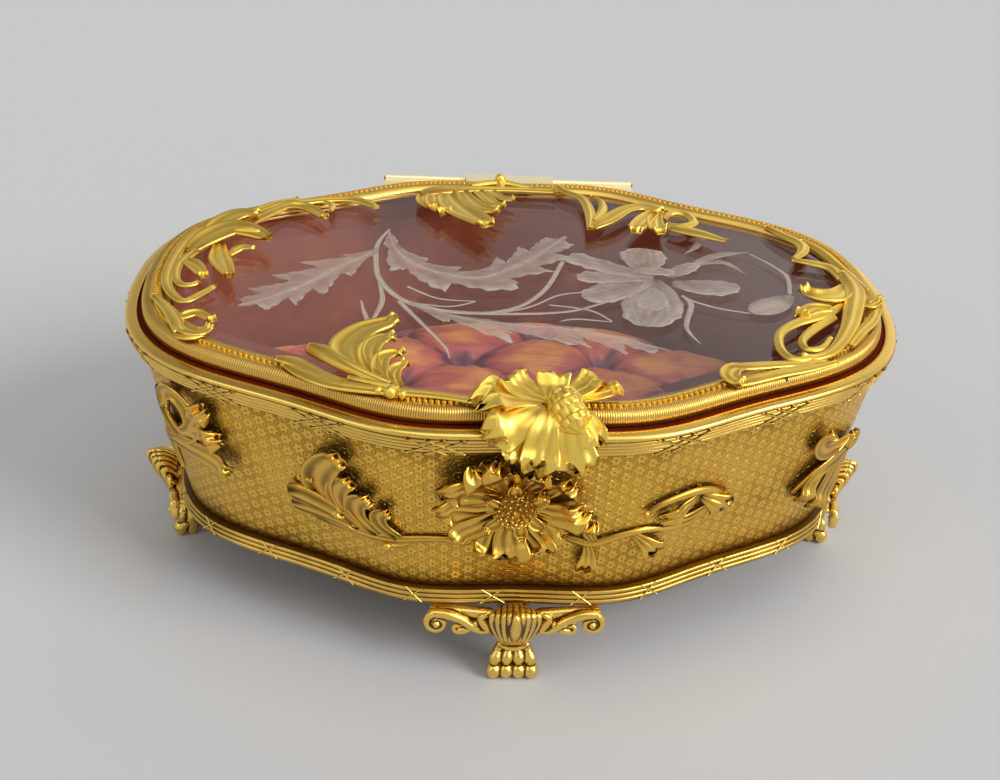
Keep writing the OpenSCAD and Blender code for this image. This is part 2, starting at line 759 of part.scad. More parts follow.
module lid_scroll_left() {
    side = "lid";
    color("Gold") {
        leaf(side, [[-106, 35, 0.3, 1.2], [-112, 22, 0.5, 1.8], [-115, 5, 0.5, 1.8], [-114, -11, 0.6, 1.6],
            [-109, -21, 0.6, 1.5], [-102, -19, 0.6, 1.4], [-97, -13, 0.8, 0.9]]);
        leaf(side, [[-104, 20, 0.4, 1.6], [-109, 9, 0.6, 1.6], [-111, -2, 0.6, 1.4], [-108, -11, 0.6, 1.2],
            [-102, -11, 0.6, 1]]);
        leaf(side, [[-110, 3, 0.3, 1.2], [-105, -1, 0.8, 2.4], [-101, -7, 1, 1.2]]);
        leaf(side, [[-112, 13, 0.4, 1.8], [-103, 19, 1.2, 4], [-94, 22, 1.6, 3], [-85, 18, 1.8, 1]]);
        leaf(side, [[-104, 22, 0.4, 2.4], [-99, 31, 1, 3.4], [-91, 36, 1.6, 1.4]]);
        leaf(side, [[-102, 16, 0.4, 2], [-98, 5, 0.8, 3], [-94, -8, 1.2, 1.2]]);
    }
}

module lid_branch_back_left() {
    side = "lid";
    color("Gold") {
        leaf(side, [[-90, 41, 0.3, 1.6], [-84, 49, 0.5, 2.2], [-76, 55, 0.5, 1.8], [-63, 59, 0.5, 1.6],
            [-55, 57.6, 0.6, 2], [-49, 51, 0.8, 1.2]]);
        leaf(side, [[-82, 51, 0.3, 1.4], [-74, 49, 0.6, 1.6], [-67, 40, 1, 1]]);
    }
}

module lid_leaf_back() {
    side = "lid";
    color("Gold") {
        leaf(side, [[-35, 66, 0.4, 1.4], [-28, 68, 1, 3.4], [-19, 71, 0.8, 2.4], [-4, 73, 0.6, 1.8],
            [8, 72.6, 0.6, 1.6], [18, 71.6, 0.6, 1.4]]);
        leaf(side, [[-24, 69, 0.3, 2.6], [-22, 58, 1, 4.2], [-17, 44, 1.8, 4], [-10, 33, 2.6, 2]]);
        leaf(side, [[-18, 69, 0.3, 2.2], [-15, 57, 1, 2.8], [-10, 48, 1.8, 2.2], [-5, 46, 2.2, 1.2]]);
        leaf(side, [[-12, 70, 0.3, 2], [-9, 61, 1, 2.2], [-6, 55, 1.6, 1.6], [-3, 53, 2, 1]]);
        leaf(side, [[-29, 66, 0.3, 2.2], [-28, 55, 1, 3], [-24, 46, 1.6, 1.8]]);
        leaf(side, [[-4, 72, 0.4, 1.4], [-4, 76, 0.8, 1.6], [-4, 80, 1, 1.2]]);
        bud(side, [-4, 79.4], 2.2, 2.1);
    }
}

module lid_scroll_back_right() {
    side = "lid";
    color("Gold") {
        leaf(side, [[18.2, 78.8, 0.4, 1.4], [20.2, 72, 0.4, 1.6], [26.4, 65, 0.6, 1.6],
            [28, 52, 0.8, 1.8], [27, 37, 1.4, 0.8]]);
        leaf(side, [[30, 68.6, 0.3, 1], [33.6, 63, 0.5, 1.4], [33, 54, 0.6, 1.6], [29, 44, 0.8, 1.6]]);
        leaf(side, [[28, 40, 0.6, 1.6], [35, 45, 0.8, 2.6], [42, 55, 0.8, 2], [49, 58, 0.6, 2],
            [55, 53, 0.6, 2]]);
        leaf(side, [[53, 55, 0.4, 1.8], [48, 45, 1, 3], [45, 35, 1.8, 2]]);
        leaf(side, [[54, 53, 0.4, 1.8], [52, 43, 1, 2.8], [53, 35, 1.8, 1.8]]);
        leaf(side, [[55, 48, 0.4, 1.4], [59, 55, 0.6, 1.4], [65, 54, 0.6, 1.6], [66, 46, 0.6, 1.6],
            [60, 42, 0.8, 2], [55, 45, 0.6, 1.6]]);
        leaf(side, [[58, 42, 0.6, 2], [65, 37, 1, 2.6], [76, 29, 1.6, 0.9]]);
    }
}

module lid_scroll_right() {
    side = "lid";
    color("Gold") {
        leaf(side, [[93, 47, 0.3, 1.2], [98, 38, 0.6, 2], [103, 30, 0.6, 2.2], [102, 23, 0.8, 1.6],
            [97, 17, 1, 0.8]]);
        leaf(side, [[97, 17, 1, 0.8], [104, 14.6, 0.8, 1.6], [110, 11, 0.6, 1.8], [112, 2, 0.6, 2]]);
        leaf(side, [[103, 34, 0.4, 1.6], [110, 25, 0.5, 1.8], [115, 10, 0.5, 1.8], [119, -5, 0.5, 1.2]]);
        leaf(side, [[113, 8, 0.4, 2.2], [114, -6, 0.8, 3], [111, -20, 1, 2.6], [106, -33, 0.8, 2.2],
            [98, -46, 0.6, 1.6], [88, -51, 0.6, 1.2]]);
        leaf(side, [[112, -6, 0.4, 2.4], [105, -12, 1, 3.2], [95, -10, 1.6, 1]]);
        leaf(side, [[113, -12, 0.4, 2], [117, -16, 0.8, 1.8], [121, -12, 1, 0.9]]);
        leaf(side, [[110, -14, 0.4, 2], [98, -25, 0.8, 2.2], [86, -31, 1, 1.8], [82, -42, 0.8, 1.6],
            [84, -53, 0.8, 1.4], [92, -51, 0.6, 1.2]]);
        leaf(side, [[103, -25, 0.4, 1.6], [93, -34, 0.6, 1.8], [89, -43, 0.6, 1.4], [94, -46, 0.6, 1.4],
            [99, -39, 0.6, 1]]);
        leaf(side, [[120, -14, 0.4, 1.2], [115, -25, 0.5, 1.8], [109, -34, 0.5, 1.6], [103, -43, 0.4, 1.2]]);
    }
}

module lid_blade_right() {
    side = "lid";
    color("Gold") {
        leaf(side, [[61, -60, 0.4, 1.6], [68, -59.4, 0.6, 1.8], [77, -57.6, 0.5, 1.6],
            [86, -57.6, 0.4, 1.2]]);
        leaf(side, [[62, -69, 0.3, 1.4], [69, -66.6, 0.5, 2], [78, -62.6, 0.5, 1.8], [88, -59, 0.4, 1.6],
            [98, -53.6, 0.3, 0.9]]);
        leaf(side, [[65, -58, 0.3, 1.4], [64, -64, 0.4, 2], [66, -70, 0.3, 1.4]]);
    }
}

// Short pins that hold the lid mounts, driven up through the frame.
module lid_mount_pins() {
    color("Silver")
        for (p = [
            [8, -79.6], [-57, -73], [-36, -77.4], [-114.4, -11], [-110.2, -30.6],
            [-80.4, 54], [-4, 77.6], [18.6, 77.2], [114.6, 9], [118.2, -2.4], [80.4, -61.6]
        ])
            translate([p[0], p[1], lid_top_z - 2])
                cylinder(h = 3, r = 0.5, $fn = 20);
}

// Turns the lid and what it carries about the hinge pin.
module on_hinge() {
    translate([0, hinge_y, hinge_z])
        rotate([-lid_angle, 0, 0])
            translate([0, -hinge_y, -hinge_z])
                children();
}

side_band();
rim_moulding();
base_moulding();
floor_plate();
foot_front();
foot_back();
foot_left();
foot_right();
foot_screws();
front_flower();
front_seed_head();
front_sprig_left();
front_sprig_right();
back_flower();
back_seed_head();
back_sprig_left();
back_sprig_right();
left_corner_mounts();
right_corner_mounts();
wall_mount_pins();
lining_board();
lining_wall();
cushion();
hinge_body_leaves();
hinge_pin();
hinge_body_screws();
on_hinge() lid_frame();
on_hinge() glass_pane();
on_hinge() glass_strip();
on_hinge() hinge_lid_leaf();
on_hinge() hinge_lid_pins();
on_hinge() clasp_flower();
on_hinge() clasp_seed_head();
on_hinge() lid_leaf_front();
on_hinge() lid_leaf_left();
on_hinge() lid_scroll_left();
on_hinge() lid_branch_back_left();
on_hinge() lid_leaf_back();
on_hinge() lid_scroll_back_right();
on_hinge() lid_scroll_right();
on_hinge() lid_blade_right();
on_hinge() lid_mount_pins();
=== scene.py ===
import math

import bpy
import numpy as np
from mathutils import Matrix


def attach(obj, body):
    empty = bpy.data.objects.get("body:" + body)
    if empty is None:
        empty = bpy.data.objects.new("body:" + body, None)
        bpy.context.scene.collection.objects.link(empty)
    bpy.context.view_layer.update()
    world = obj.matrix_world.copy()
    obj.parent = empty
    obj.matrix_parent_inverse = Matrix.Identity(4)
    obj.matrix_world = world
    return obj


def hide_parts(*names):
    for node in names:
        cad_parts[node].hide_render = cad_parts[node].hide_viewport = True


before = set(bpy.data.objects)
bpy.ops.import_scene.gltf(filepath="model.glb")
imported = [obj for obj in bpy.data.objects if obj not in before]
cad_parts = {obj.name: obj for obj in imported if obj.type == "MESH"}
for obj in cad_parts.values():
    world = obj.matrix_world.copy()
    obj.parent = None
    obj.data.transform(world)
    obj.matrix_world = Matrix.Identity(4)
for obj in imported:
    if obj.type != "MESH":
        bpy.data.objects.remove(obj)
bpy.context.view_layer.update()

# %% [markdown]
# A gilt-metal casket: a shallow box with a swelling outline, four paw feet, a stamped wall
# between two reeded mouldings, cast leaf mounts, and a lid that holds a bevelled, engraved pane
# over a deep-buttoned silk pad. The frame that was just loaded holds every part at its true size
# and place. This file dresses it: each cell makes one piece or one finish and says why.
# Points are worked out in millimetres, as a metalworker would mark them, and turned into metres
# only when they become a mesh.

scene = bpy.context.scene
MM = 0.001
HALF_L, HALF_W = 128.0, 90.0
SWELL, DRAW = 0.019, 0.009
JOINT_Z = 100.0
BASE_TOP, WALL_TOP = 34.0, 92.6
LID_Z, LID_TOP, MOUNT_Z = 100.4, 105.4, 105.5
GLASS_Z, GLASS_T = 101.2, 3.1

# %% [markdown]
# The plan of the box is one closed curve, and nearly every piece follows it: an ellipse whose
# radius swells beside the middle of each side. A maker would cut one template and set the
# mouldings, wall and frame in from it. `inset` is that template, for whole arrays of angles.

# %% The outline and its insets
def plan(a):
    """Outline point at angle a: the ellipse radius, times 1 less the corner draw (a 4-fold
    cosine) plus the side swell (an 8-fold cosine)."""
    wave = 1 - DRAW * (1 - np.cos(4 * a)) + SWELL * (1 - np.cos(8 * a))
    r = wave / np.sqrt((np.cos(a) / HALF_L) ** 2 + (np.sin(a) / HALF_W) ** 2)
    return np.stack([r * np.cos(a), r * np.sin(a)], -1)


def outward(a):
    """Unit normal of the outline: the chord across one degree, turned a quarter clockwise."""
    d = plan(a + math.radians(0.5)) - plan(a - math.radians(0.5))
    n = np.stack([d[..., 1], -d[..., 0]], -1)
    return n / np.linalg.norm(n, axis=-1, keepdims=True)


def inset(a, in_by, z):
    """Point in space: the outline at angle a, moved inward by in_by, at height z."""
    a, in_by, z = np.broadcast_arrays(a, in_by, z)
    p = plan(a) - in_by[..., None] * outward(a)
    return np.concatenate([p, z[..., None]], -1)


def wall_in(z):
    """Inset of the sloping wall at height z, by straight lines between three measured heights."""
    return np.interp(z, [34.0, 63.3, 92.6], [15.0, 9.2, 4.0])


_turn = np.linspace(0, 2 * np.pi, 7201)
_step = np.linalg.norm(np.diff(plan(_turn), axis=0), axis=1)
_length = np.concatenate([[0], np.cumsum(_step)])
GIRTH = float(_length[-1])


def at_length(s):
    """Angle at the distance s along the outline, so that ribs and beads come evenly spaced."""
    return np.interp(np.mod(s, GIRTH), _length, _turn)


print("the outline is", round(GIRTH, 1), "mm round")

# %% [markdown]
# Blender can take a mesh as whole arrays. `grid` joins a grid of points into four-sided faces,
# and `make_piece` puts points and faces into a mesh in one go. The points of every shape below
# are numpy arrays, so a whole moulding or leaf is a few lines of arithmetic.

# %% From arrays to meshes
def grid(nu, nv, wrap_u=False, wrap_v=False):
    """Faces of a grid of nu by nv points, each as four point numbers. wrap joins the last line
    of points to the first. Also gives the unwrapped (i, j) of every corner, for UV maps."""
    i = np.arange(nu if wrap_u else nu - 1)
    j = np.arange(nv if wrap_v else nv - 1)
    i, j = [k.ravel() for k in np.meshgrid(i, j, indexing="ij")]
    ii = np.stack([i, i + 1, i + 1, i], -1)
    jj = np.stack([j, j, j + 1, j + 1], -1)
    return (ii % nu) * nv + jj % nv, np.stack([ii, jj], -1)


def shell(points, quads, tris=None, mark=None, uv=None):
    """One closed surface as a dictionary of arrays, turned so that its faces point outward:
    the signed volume under its triangles has to come out positive."""
    points = np.asarray(points, float).reshape(-1, 3)
    quads = np.asarray(quads, int).reshape(-1, 4)
    tris = np.zeros((0, 3), int) if tris is None else np.asarray(tris, int).reshape(-1, 3)
    every = np.concatenate([quads[:, :3], quads[:, [0, 2, 3]], tris])
    a, b, c = (points[every[:, k]] - points.mean(0) for k in range(3))
    if np.einsum("ij,ij->i", a, np.cross(b, c)).sum() < 0:
        quads, tris = quads[:, ::-1], tris[:, ::-1]
        uv = None if uv is None else uv[:, ::-1]
    mark = np.full(len(points), 0.6) if mark is None else np.asarray(mark, float).ravel()
    return {"p": points, "q": quads, "t": tris, "m": mark, "uv": uv}


def merged(shells):
    """Several shells as one, their point numbers shifted to follow each other."""
    starts = np.cumsum([0] + [len(s["p"]) for s in shells[:-1]])
    uv = None
    if all(s["uv"] is not None for s in shells):
        uv = np.concatenate([s["uv"] for s in shells])
    return {
        "p": np.concatenate([s["p"] for s in shells]),
        "q": np.concatenate([s["q"] + k for s, k in zip(shells, starts)]),
        "t": np.concatenate([s["t"] + k for s, k in zip(shells, starts)]),
        "m": np.concatenate([s["m"] for s in shells]),
        "uv": uv,
    }


def make_piece(name, s, body, material, smooth=True, stands_for=()):
    """A mesh object from a shell: points in metres, faces, a UV map if there is one, and a point
    attribute from its marks: rubbed brightness on gilding, painted sheen and shade on the silk pad, veil strength on
    the engraving."""
    loops = np.concatenate([s["q"].ravel(), s["t"].ravel()]).astype(np.int32)
    nq, nt = len(s["q"]), len(s["t"])
    starts = np.concatenate([np.arange(nq) * 4, nq * 4 + np.arange(nt) * 3]).astype(np.int32)
    mesh = bpy.data.meshes.new(name)
    mesh.vertices.add(len(s["p"]))
    mesh.vertices.foreach_set("co", (s["p"] * MM).ravel().astype(np.float32))
    mesh.loops.add(len(loops))
    mesh.loops.foreach_set("vertex_index", loops)
    mesh.polygons.add(len(starts))
    mesh.polygons.foreach_set("loop_start", starts)
    if s["uv"] is not None:
        flat = np.zeros((len(loops), 2), np.float32)
        flat[: nq * 4] = s["uv"].reshape(-1, 2)
        mesh.uv_layers.new(name="UVMap").data.foreach_set("uv", flat.ravel())
    mesh.update(calc_edges=True)
    mesh.attributes.new("surface_mark", "FLOAT", "POINT").data.foreach_set("value", s["m"].astype(np.float32))
    if smooth:
        mesh.shade_smooth()
    mesh.materials.append(material)
    obj = bpy.data.objects.new(name, mesh)
    scene.collection.objects.link(obj)
    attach(obj, body)
    if stands_for:
        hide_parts(*stands_for)
    print(f"{name}: {nq * 2 + nt} triangles")
    return obj


def dress(names, material):
    """Gives a finish to parts of the frame, whose own shape is already right."""
    for name in names:
        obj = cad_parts[name]
        obj.data.materials.clear()
        obj.data.materials.append(material)
    print("dressed", ", ".join(names))

# %% [markdown]
# Finishes are node trees. `put` adds one node, sets it and links what it is given, and `calc`
# does one step of arithmetic. What several finishes share, such as the way gilding goes dark in
# the hollows, is a node group with named inputs, built once and placed in each material.

# %% Small helpers for node trees
def put(tree, kind, inputs=None, **settings):
    """Adds a node. settings are its own properties; inputs are values, or sockets to link."""
    n = tree.nodes.new(kind)
    for key, value in settings.items():
        setattr(n, key, value)
    for key, value in (inputs or {}).items():
        if isinstance(value, bpy.types.NodeSocket):
            tree.links.new(value, n.inputs[key])
        else:
            n.inputs[key].default_value = value
    return n


def calc(tree, operation, *values, clamp=False):
    """One Math node; values are numbers or sockets. Gives its output socket."""
    return put(tree, "ShaderNodeMath", dict(enumerate(values)), operation=operation, use_clamp=clamp).outputs[0]


def blend_colors(tree, share, first, second, how="MIX"):
    """A colour Mix node from first (share 0) to second (share 1)."""
    n = tree.nodes.new("ShaderNodeMix")
    n.data_type = "RGBA"
    n.blend_type = how
    for key, value in ((0, share), (6, first), (7, second)):
        if isinstance(value, bpy.types.NodeSocket):
            tree.links.new(value, n.inputs[key])
        else:
            n.inputs[key].default_value = value
    return n.outputs[2]


def spread(tree, value, low, high, to_low=0.0, to_high=1.0):
    """A smooth Map Range from low..high to to_low..to_high."""
    n = put(tree, "ShaderNodeMapRange", interpolation_type="SMOOTHSTEP")
    tree.links.new(value, n.inputs[0])
    for k, x in enumerate((low, high, to_low, to_high), 1):
        n.inputs[k].default_value = x
    return n.outputs[0]


def new_group(name, inputs, outputs):
    """An empty node group with named sockets; inputs maps a name to (socket kind, default)."""
    tree = bpy.data.node_groups.new(name, "ShaderNodeTree")
    for key, (kind, value) in inputs.items():
        s = tree.interface.new_socket(key, in_out="INPUT", socket_type=kind)
        if value is not None:
            s.default_value = value
    for key, kind in outputs.items():
        tree.interface.new_socket(key, in_out="OUTPUT", socket_type=kind)
    return tree, tree.nodes.new("NodeGroupInput").outputs, tree.nodes.new("NodeGroupOutput").inputs


def place_group(tree, group, inputs):
    """One use of a node group in a material, with its own values."""
    return put(tree, "ShaderNodeGroup", inputs, node_tree=group).outputs


def new_material(name, **constants):
    """A material with one Principled shader. constants are set on the shader's own sockets."""
    mat = bpy.data.materials.new(name)
    mat.use_nodes = True
    tree = mat.node_tree
    tree.nodes.clear()
    shader = put(tree, "ShaderNodeBsdfPrincipled")
    for key, value in constants.items():
        shader.inputs[key.replace("_", " ")].default_value = value
    out = put(tree, "ShaderNodeOutputMaterial", {"Surface": shader.outputs[0]})
    return mat, tree, shader, out


COLOR, FLOAT, VECTOR = "NodeSocketColor", "NodeSocketFloat", "NodeSocketVector"

# %% [markdown]
# Fire-gilt metal isn't one colour. Where a cloth has rubbed it, it is bright and yellow; in the
# hollows an olive-brown film stays. Every piece carries the point attribute `surface_mark`, 1 on the
# ridges and 0 in the grooves, worked out with the shape itself. The group mixes the two colours
# by that mask and a cloudy noise, makes the film rougher, and adds a fine satin grain.

# %% The gilding group
gilding, gi, go = new_group(
    "gilding",
    {
        "Polish": (FLOAT, 0.6), "Bright": (COLOR, (0.9, 0.6, 0.2, 1)), "Film": (COLOR, (0.2, 0.12, 0.03, 1)),
        "Smooth": (FLOAT, 0.25), "Dull": (FLOAT, 0.5), "Grain": (FLOAT, 1500.0),
    },
    {"Color": COLOR, "Roughness": FLOAT, "Height": FLOAT},
)
spot = put(gilding, "ShaderNodeTexCoord").outputs["Object"]
cloud = put(gilding, "ShaderNodeTexNoise", {"Vector": spot, "Scale": 55.0, "Detail": 4.0, "Roughness": 0.6}).outputs[0]
grain = put(gilding, "ShaderNodeTexNoise", {"Vector": spot, "Scale": gi["Grain"], "Detail": 2.0}).outputs[0]
uneven = calc(gilding, "MULTIPLY", calc(gilding, "SUBTRACT", cloud, 0.5), 0.7)
mask = spread(gilding, calc(gilding, "ADD", gi["Polish"], uneven), 0.02, 0.72)
gilding.links.new(blend_colors(gilding, mask, gi["Film"], gi["Bright"]), go["Color"])
rough = calc(gilding, "ADD", gi["Dull"], calc(gilding, "MULTIPLY", mask, calc(gilding, "SUBTRACT", gi["Smooth"], gi["Dull"])))
gilding.links.new(calc(gilding, "ADD", rough, calc(gilding, "MULTIPLY", calc(gilding, "SUBTRACT", grain, 0.5), 0.05)), go["Roughness"])
gilding.links.new(grain, go["Height"])
print("gilding group:", len(gilding.nodes), "nodes")


def gilt_material(name, bright, film, smooth, dull, bump=0.000008, metal=1.0):
    """Gilt metal with its own pair of colours and roughnesses; bump is the grain in metres, and
    metal below 1 makes a strip paler and more even: on the hinge strips this paints in their bright reflection."""
    mat, tree, shader, _ = new_material(name, Metallic=metal)
    surface_mark = put(tree, "ShaderNodeAttribute", attribute_name="surface_mark").outputs["Fac"]
    g = place_group(tree, gilding, {
        "Polish": surface_mark, "Bright": bright, "Film": film, "Smooth": smooth, "Dull": dull, "Grain": 1500.0,
    })
    tree.links.new(g["Color"], shader.inputs["Base Color"])
    tree.links.new(g["Roughness"], shader.inputs["Roughness"])
    b = put(tree, "ShaderNodeBump", {"Height": g["Height"], "Distance": bump, "Strength": 1.0})
    tree.links.new(b.outputs[0], shader.inputs["Normal"])
    return mat


gilt_bright = gilt_material("satin yellow gilding", (1.0, 0.71, 0.13, 1), (0.62, 0.34, 0.045, 1), 0.36, 0.5)
# The wall castings' gilding is set darker than the lid's: an olive worn film, and painted shade for the upright wall.
gilt_worn_and_shaded = gilt_material("olive worn and shaded gilding", (0.82, 0.5, 0.085, 1), (0.07, 0.035, 0.005, 1), 0.3, 0.48)
gilt_mould = gilt_material("moulding gilding", (0.92, 0.6, 0.13, 1), (0.12, 0.055, 0.006, 1), 0.27, 0.4, 0.000003)
gilt_milled = gilt_material("milled gilding", (0.86, 0.56, 0.13, 1), (0.36, 0.17, 0.025, 1), 0.36, 0.46)
gilt_foot = gilt_material("foot gilding", (0.92, 0.62, 0.14, 1), (0.13, 0.06, 0.008, 1), 0.27, 0.45)
# The hinge strips' pale, near-white colours and lower metal paint in the bright reflection they catch.
hinge_painted_highlight = gilt_material("hinge brass painted pale as its reflection", (1.0, 0.92, 0.6, 1), (1.0, 0.88, 0.54, 1), 0.34, 0.4, metal=0.6)
steel_pin = gilt_material("screw and pin brass", (0.72, 0.56, 0.28, 1), (0.25, 0.17, 0.07, 1), 0.3, 0.5)

# %% [markdown]
# The wall is one strip of thin metal, stamped all over with small six-petalled stars before it
# was bent. The stars are far too many to model, so the wall is a smooth band whose UV map is in
# millimetres along and up the strip, and the stars are a bump worked out by arithmetic nodes:
# find the nearest point of a six-sided lattice, then the angle and distance from it.

# %% The stamped-star group
N_STARS = 2 * round(GIRTH / 4.25 / 2)
STAR_X = GIRTH / N_STARS
STAR_Y = STAR_X * 2 / math.sqrt(3)
stars, si, so = new_group(
    "stamped stars", {"Along": (FLOAT, 0.0), "Up": (FLOAT, 0.0)}, {"Height": FLOAT, "Petal": FLOAT, "Outline": FLOAT}
)


def off_centre(value, pitch, shift):
    """Distance from the nearest multiple of pitch, after a shift of part of one pitch."""
    turns = calc(stars, "ADD", calc(stars, "DIVIDE", value, pitch), 0.5 + shift)
    return calc(stars, "MULTIPLY", calc(stars, "SUBTRACT", calc(stars, "FRACT", turns), 0.5), pitch)


near = []
for shift in (0.0, 0.5):
    dx = off_centre(si["Along"], 2 * STAR_X, shift)
    dy = off_centre(si["Up"], STAR_Y, shift)
    rr = calc(stars, "SQRT", calc(stars, "ADD", calc(stars, "MULTIPLY", dx, dx), calc(stars, "MULTIPLY", dy, dy)))
    near.append((dx, dy, rr))
pick = calc(stars, "LESS_THAN", near[0][2], near[1][2])
dx, dy, rr = [
    calc(stars, "ADD", calc(stars, "MULTIPLY", one, pick), calc(stars, "MULTIPLY", two, calc(stars, "SUBTRACT", 1.0, pick)))
    for one, two in zip(*near)
]
angle = calc(stars, "ARCTAN2", dy, dx)
sideways = calc(stars, "MULTIPLY", calc(stars, "MULTIPLY", rr, 0.36), calc(stars, "ABSOLUTE", calc(stars, "SINE", calc(stars, "MULTIPLY", angle, 3.0))))
reach = calc(stars, "DIVIDE", calc(stars, "SUBTRACT", rr, 0.3), 1.95, clamp=True)
width = calc(stars, "MULTIPLY", calc(stars, "POWER", calc(stars, "SINE", calc(stars, "MULTIPLY", reach, math.pi)), 0.6), 0.72)
petal = spread(stars, calc(stars, "SUBTRACT", width, sideways), -0.12, 0.22)
ground = calc(stars, "MULTIPLY", spread(stars, rr, 1.7, 2.7), 0.35)
stars.links.new(calc(stars, "MAXIMUM", petal, ground), so["Height"])
stars.links.new(petal, so["Petal"])
slope = calc(stars, "MULTIPLY", petal, calc(stars, "SUBTRACT", 1.0, petal))
stars.links.new(calc(stars, "MULTIPLY", slope, 4.0), so["Outline"])

wall_gilt, tree, shader, _ = new_material("stamped star gilding", Metallic=1.0)
uv = put(tree, "ShaderNodeUVMap", uv_map="UVMap").outputs[0]
axes = put(tree, "ShaderNodeSeparateXYZ", {0: uv}).outputs
star = place_group(tree, stars, {"Along": axes[0], "Up": axes[1]})
surface_mark = put(tree, "ShaderNodeAttribute", attribute_name="surface_mark").outputs["Fac"]
raised = calc(tree, "ADD", calc(tree, "MULTIPLY", star["Petal"], 0.26), calc(tree, "MULTIPLY", surface_mark, 0.62))
raised = calc(tree, "SUBTRACT", raised, calc(tree, "MULTIPLY", star["Outline"], 0.34))
g = place_group(tree, gilding, {
    "Polish": raised, "Bright": (0.88, 0.54, 0.085, 1), "Film": (0.3, 0.155, 0.018, 1), "Smooth": 0.36, "Dull": 0.5, "Grain": 1500.0,
})
tree.links.new(g["Color"], shader.inputs["Base Color"])
tree.links.new(g["Roughness"], shader.inputs["Roughness"])
bump = put(tree, "ShaderNodeBump", {"Height": star["Height"], "Distance": 0.0003, "Strength": 1.0})
tree.links.new(bump.outputs[0], shader.inputs["Normal"])
print(N_STARS, "columns of stars,", round(STAR_Y, 2), "mm apart in a column")

# %% [markdown]
# Every moulding is a cross-section carried once round the outline. A reed is a half round, so a
# reeded moulding's section is a row of half circles between a flat top and a flat underside.
# `sweep` makes the whole ring from one section; the stations are evenly spaced by length.

# %% Carrying a section round the outline
def sweep(section, stations, mark=None):
    """Closed section of (inset, z) rows, carried round: the point at angle a and row k is the
    outline moved inward by inset[k], at height z[k]."""
    section = np.asarray(section, float)
    m = len(section)
    a = at_length(np.arange(stations) * GIRTH / stations)
    points = inset(a[:, None], section[None, :, 0], section[None, :, 1])
    quads, ij = grid(stations, m, True, True)
    loop = np.concatenate([section, section[:1]])
    run = np.concatenate([[0], np.cumsum(np.linalg.norm(np.diff(loop, axis=0), axis=1))])
    uv = np.stack([ij[..., 0] * GIRTH / stations, run[ij[..., 1]]], -1)
    marks = np.full((stations, m), 0.6) if mark is None else np.broadcast_to(mark, (stations, m))
    return shell(points, quads, mark=marks, uv=uv)


def reeds(start, end, count, steps=7):
    """Section points of half-round reeds side by side from start to end, standing out to the
    right of that way, and their polish: bright on the crown and dark in the groove."""
    start, end = np.array(start, float), np.array(end, float)
    way = (end - start) / count
    out = np.array([way[1], -way[0]])
    t = np.linspace(0, np.pi, steps)[:-1]
    rows, marks = [], []
    for k in range(count):
        mid = start + way * (k + 0.5)
        rows.append(mid - np.outer(np.cos(t), way / 2) + np.outer(np.sin(t), out) * 0.42)
        marks.append(np.sin(t) * 1.0 - 0.15)
    return np.concatenate(rows), np.concatenate(marks)


def rounded(points, radii, steps=5):
    """A section's corners rounded by quadratic curves that start and end at the given distance
    from each corner."""
    out = []
    pts = np.asarray(points, float)
    for k, p in enumerate(pts):
        r = radii[k] if np.ndim(radii) else radii
        if r <= 0:
            out.append(p[None])
            continue
        before, after = pts[k - 1] - p, pts[(k + 1) % len(pts)] - p
        a = p + before / np.linalg.norm(before) * min(r, np.linalg.norm(before) * 0.45)
        b = p + after / np.linalg.norm(after) * min(r, np.linalg.norm(after) * 0.45)
        t = np.linspace(0, 1, steps)[:, None]
        out.append((1 - t) ** 2 * a + 2 * t * (1 - t) * p + t**2 * b)
    return np.concatenate(out)


# %% The stamped wall
zs = np.linspace(BASE_TOP, WALL_TOP, 26)
outer = np.stack([wall_in(zs), zs], -1)
inner = np.stack([wall_in(zs[::-1]) + 1.3, zs[::-1]], -1)
section = np.concatenate([outer, inner])
# The wall comes out darker towards its top and bottom, where it meets the mouldings, and middling on its inner face.
wall_tone_by_height = np.concatenate([np.interp(zs, [34, 37, 42, 86, 90.5, 92.6], [0.0, 0.25, 0.75, 0.8, 0.55, 0.1]), np.full(26, 0.4)])
wall = sweep(section, 480, wall_tone_by_height)
make_piece("stamped_wall", wall, "casket", wall_gilt, stands_for=("side_band",))

# %% The rim and base mouldings
lip = rounded([[9.0, 99.3], [4.1, 99.3], [3.9, 100.1], [2.6, 100.36], [0.6, 99.9], [0.0, 99.0], [0.15, 98.3]], [0, 0.1, 0.4, 1.0, 0.8, 0.4, 0], 5)
rim_reeds, rim_marks = reeds([0.35, 98.3], [2.4, 92.7], 4)
section = np.concatenate([lip, rim_reeds, [[2.6, 92.6], [9.0, 92.6]]])
marks = np.concatenate([np.where(lip[:, 0] > 4.0, 0.0, 0.85), rim_marks, [0.0, 0.3]])
make_piece("rim_moulding_reeded", sweep(section, 720, marks), "casket", gilt_mould, stands_for=("rim_moulding",))

top = rounded([[20.0, 34.0], [14.8, 34.0], [13.4, 33.6]], [0, 0.5, 0], 4)
base_reeds, base_marks = reeds([13.3, 33.5], [12.1, 29.0], 3)
foot_edge = [[12.2, 28.9], [12.4, 28.3], [12.8, 28.0], [20.0, 28.0]]
section = np.concatenate([top, base_reeds, foot_edge])
marks = np.concatenate([np.full(len(top), 0.0), 0.62 * base_marks, [0.3, 0.4, 0.3, 0.2]])
make_piece("base_moulding_reeded", sweep(section, 720, marks), "casket", gilt_mould, stands_for=("base_moulding",))

# %% [markdown]
# The lid frame is a milled strip: fine ribs run up its outer side and over its shoulder, made by
# rolling the strip under a knurled wheel. Here the section's outer part moves in and out by a
# cosine of the distance along the outline, about 0.75 mm from rib to rib. A row of tiny beads
# follows, then a smooth inner slope down to the glass.

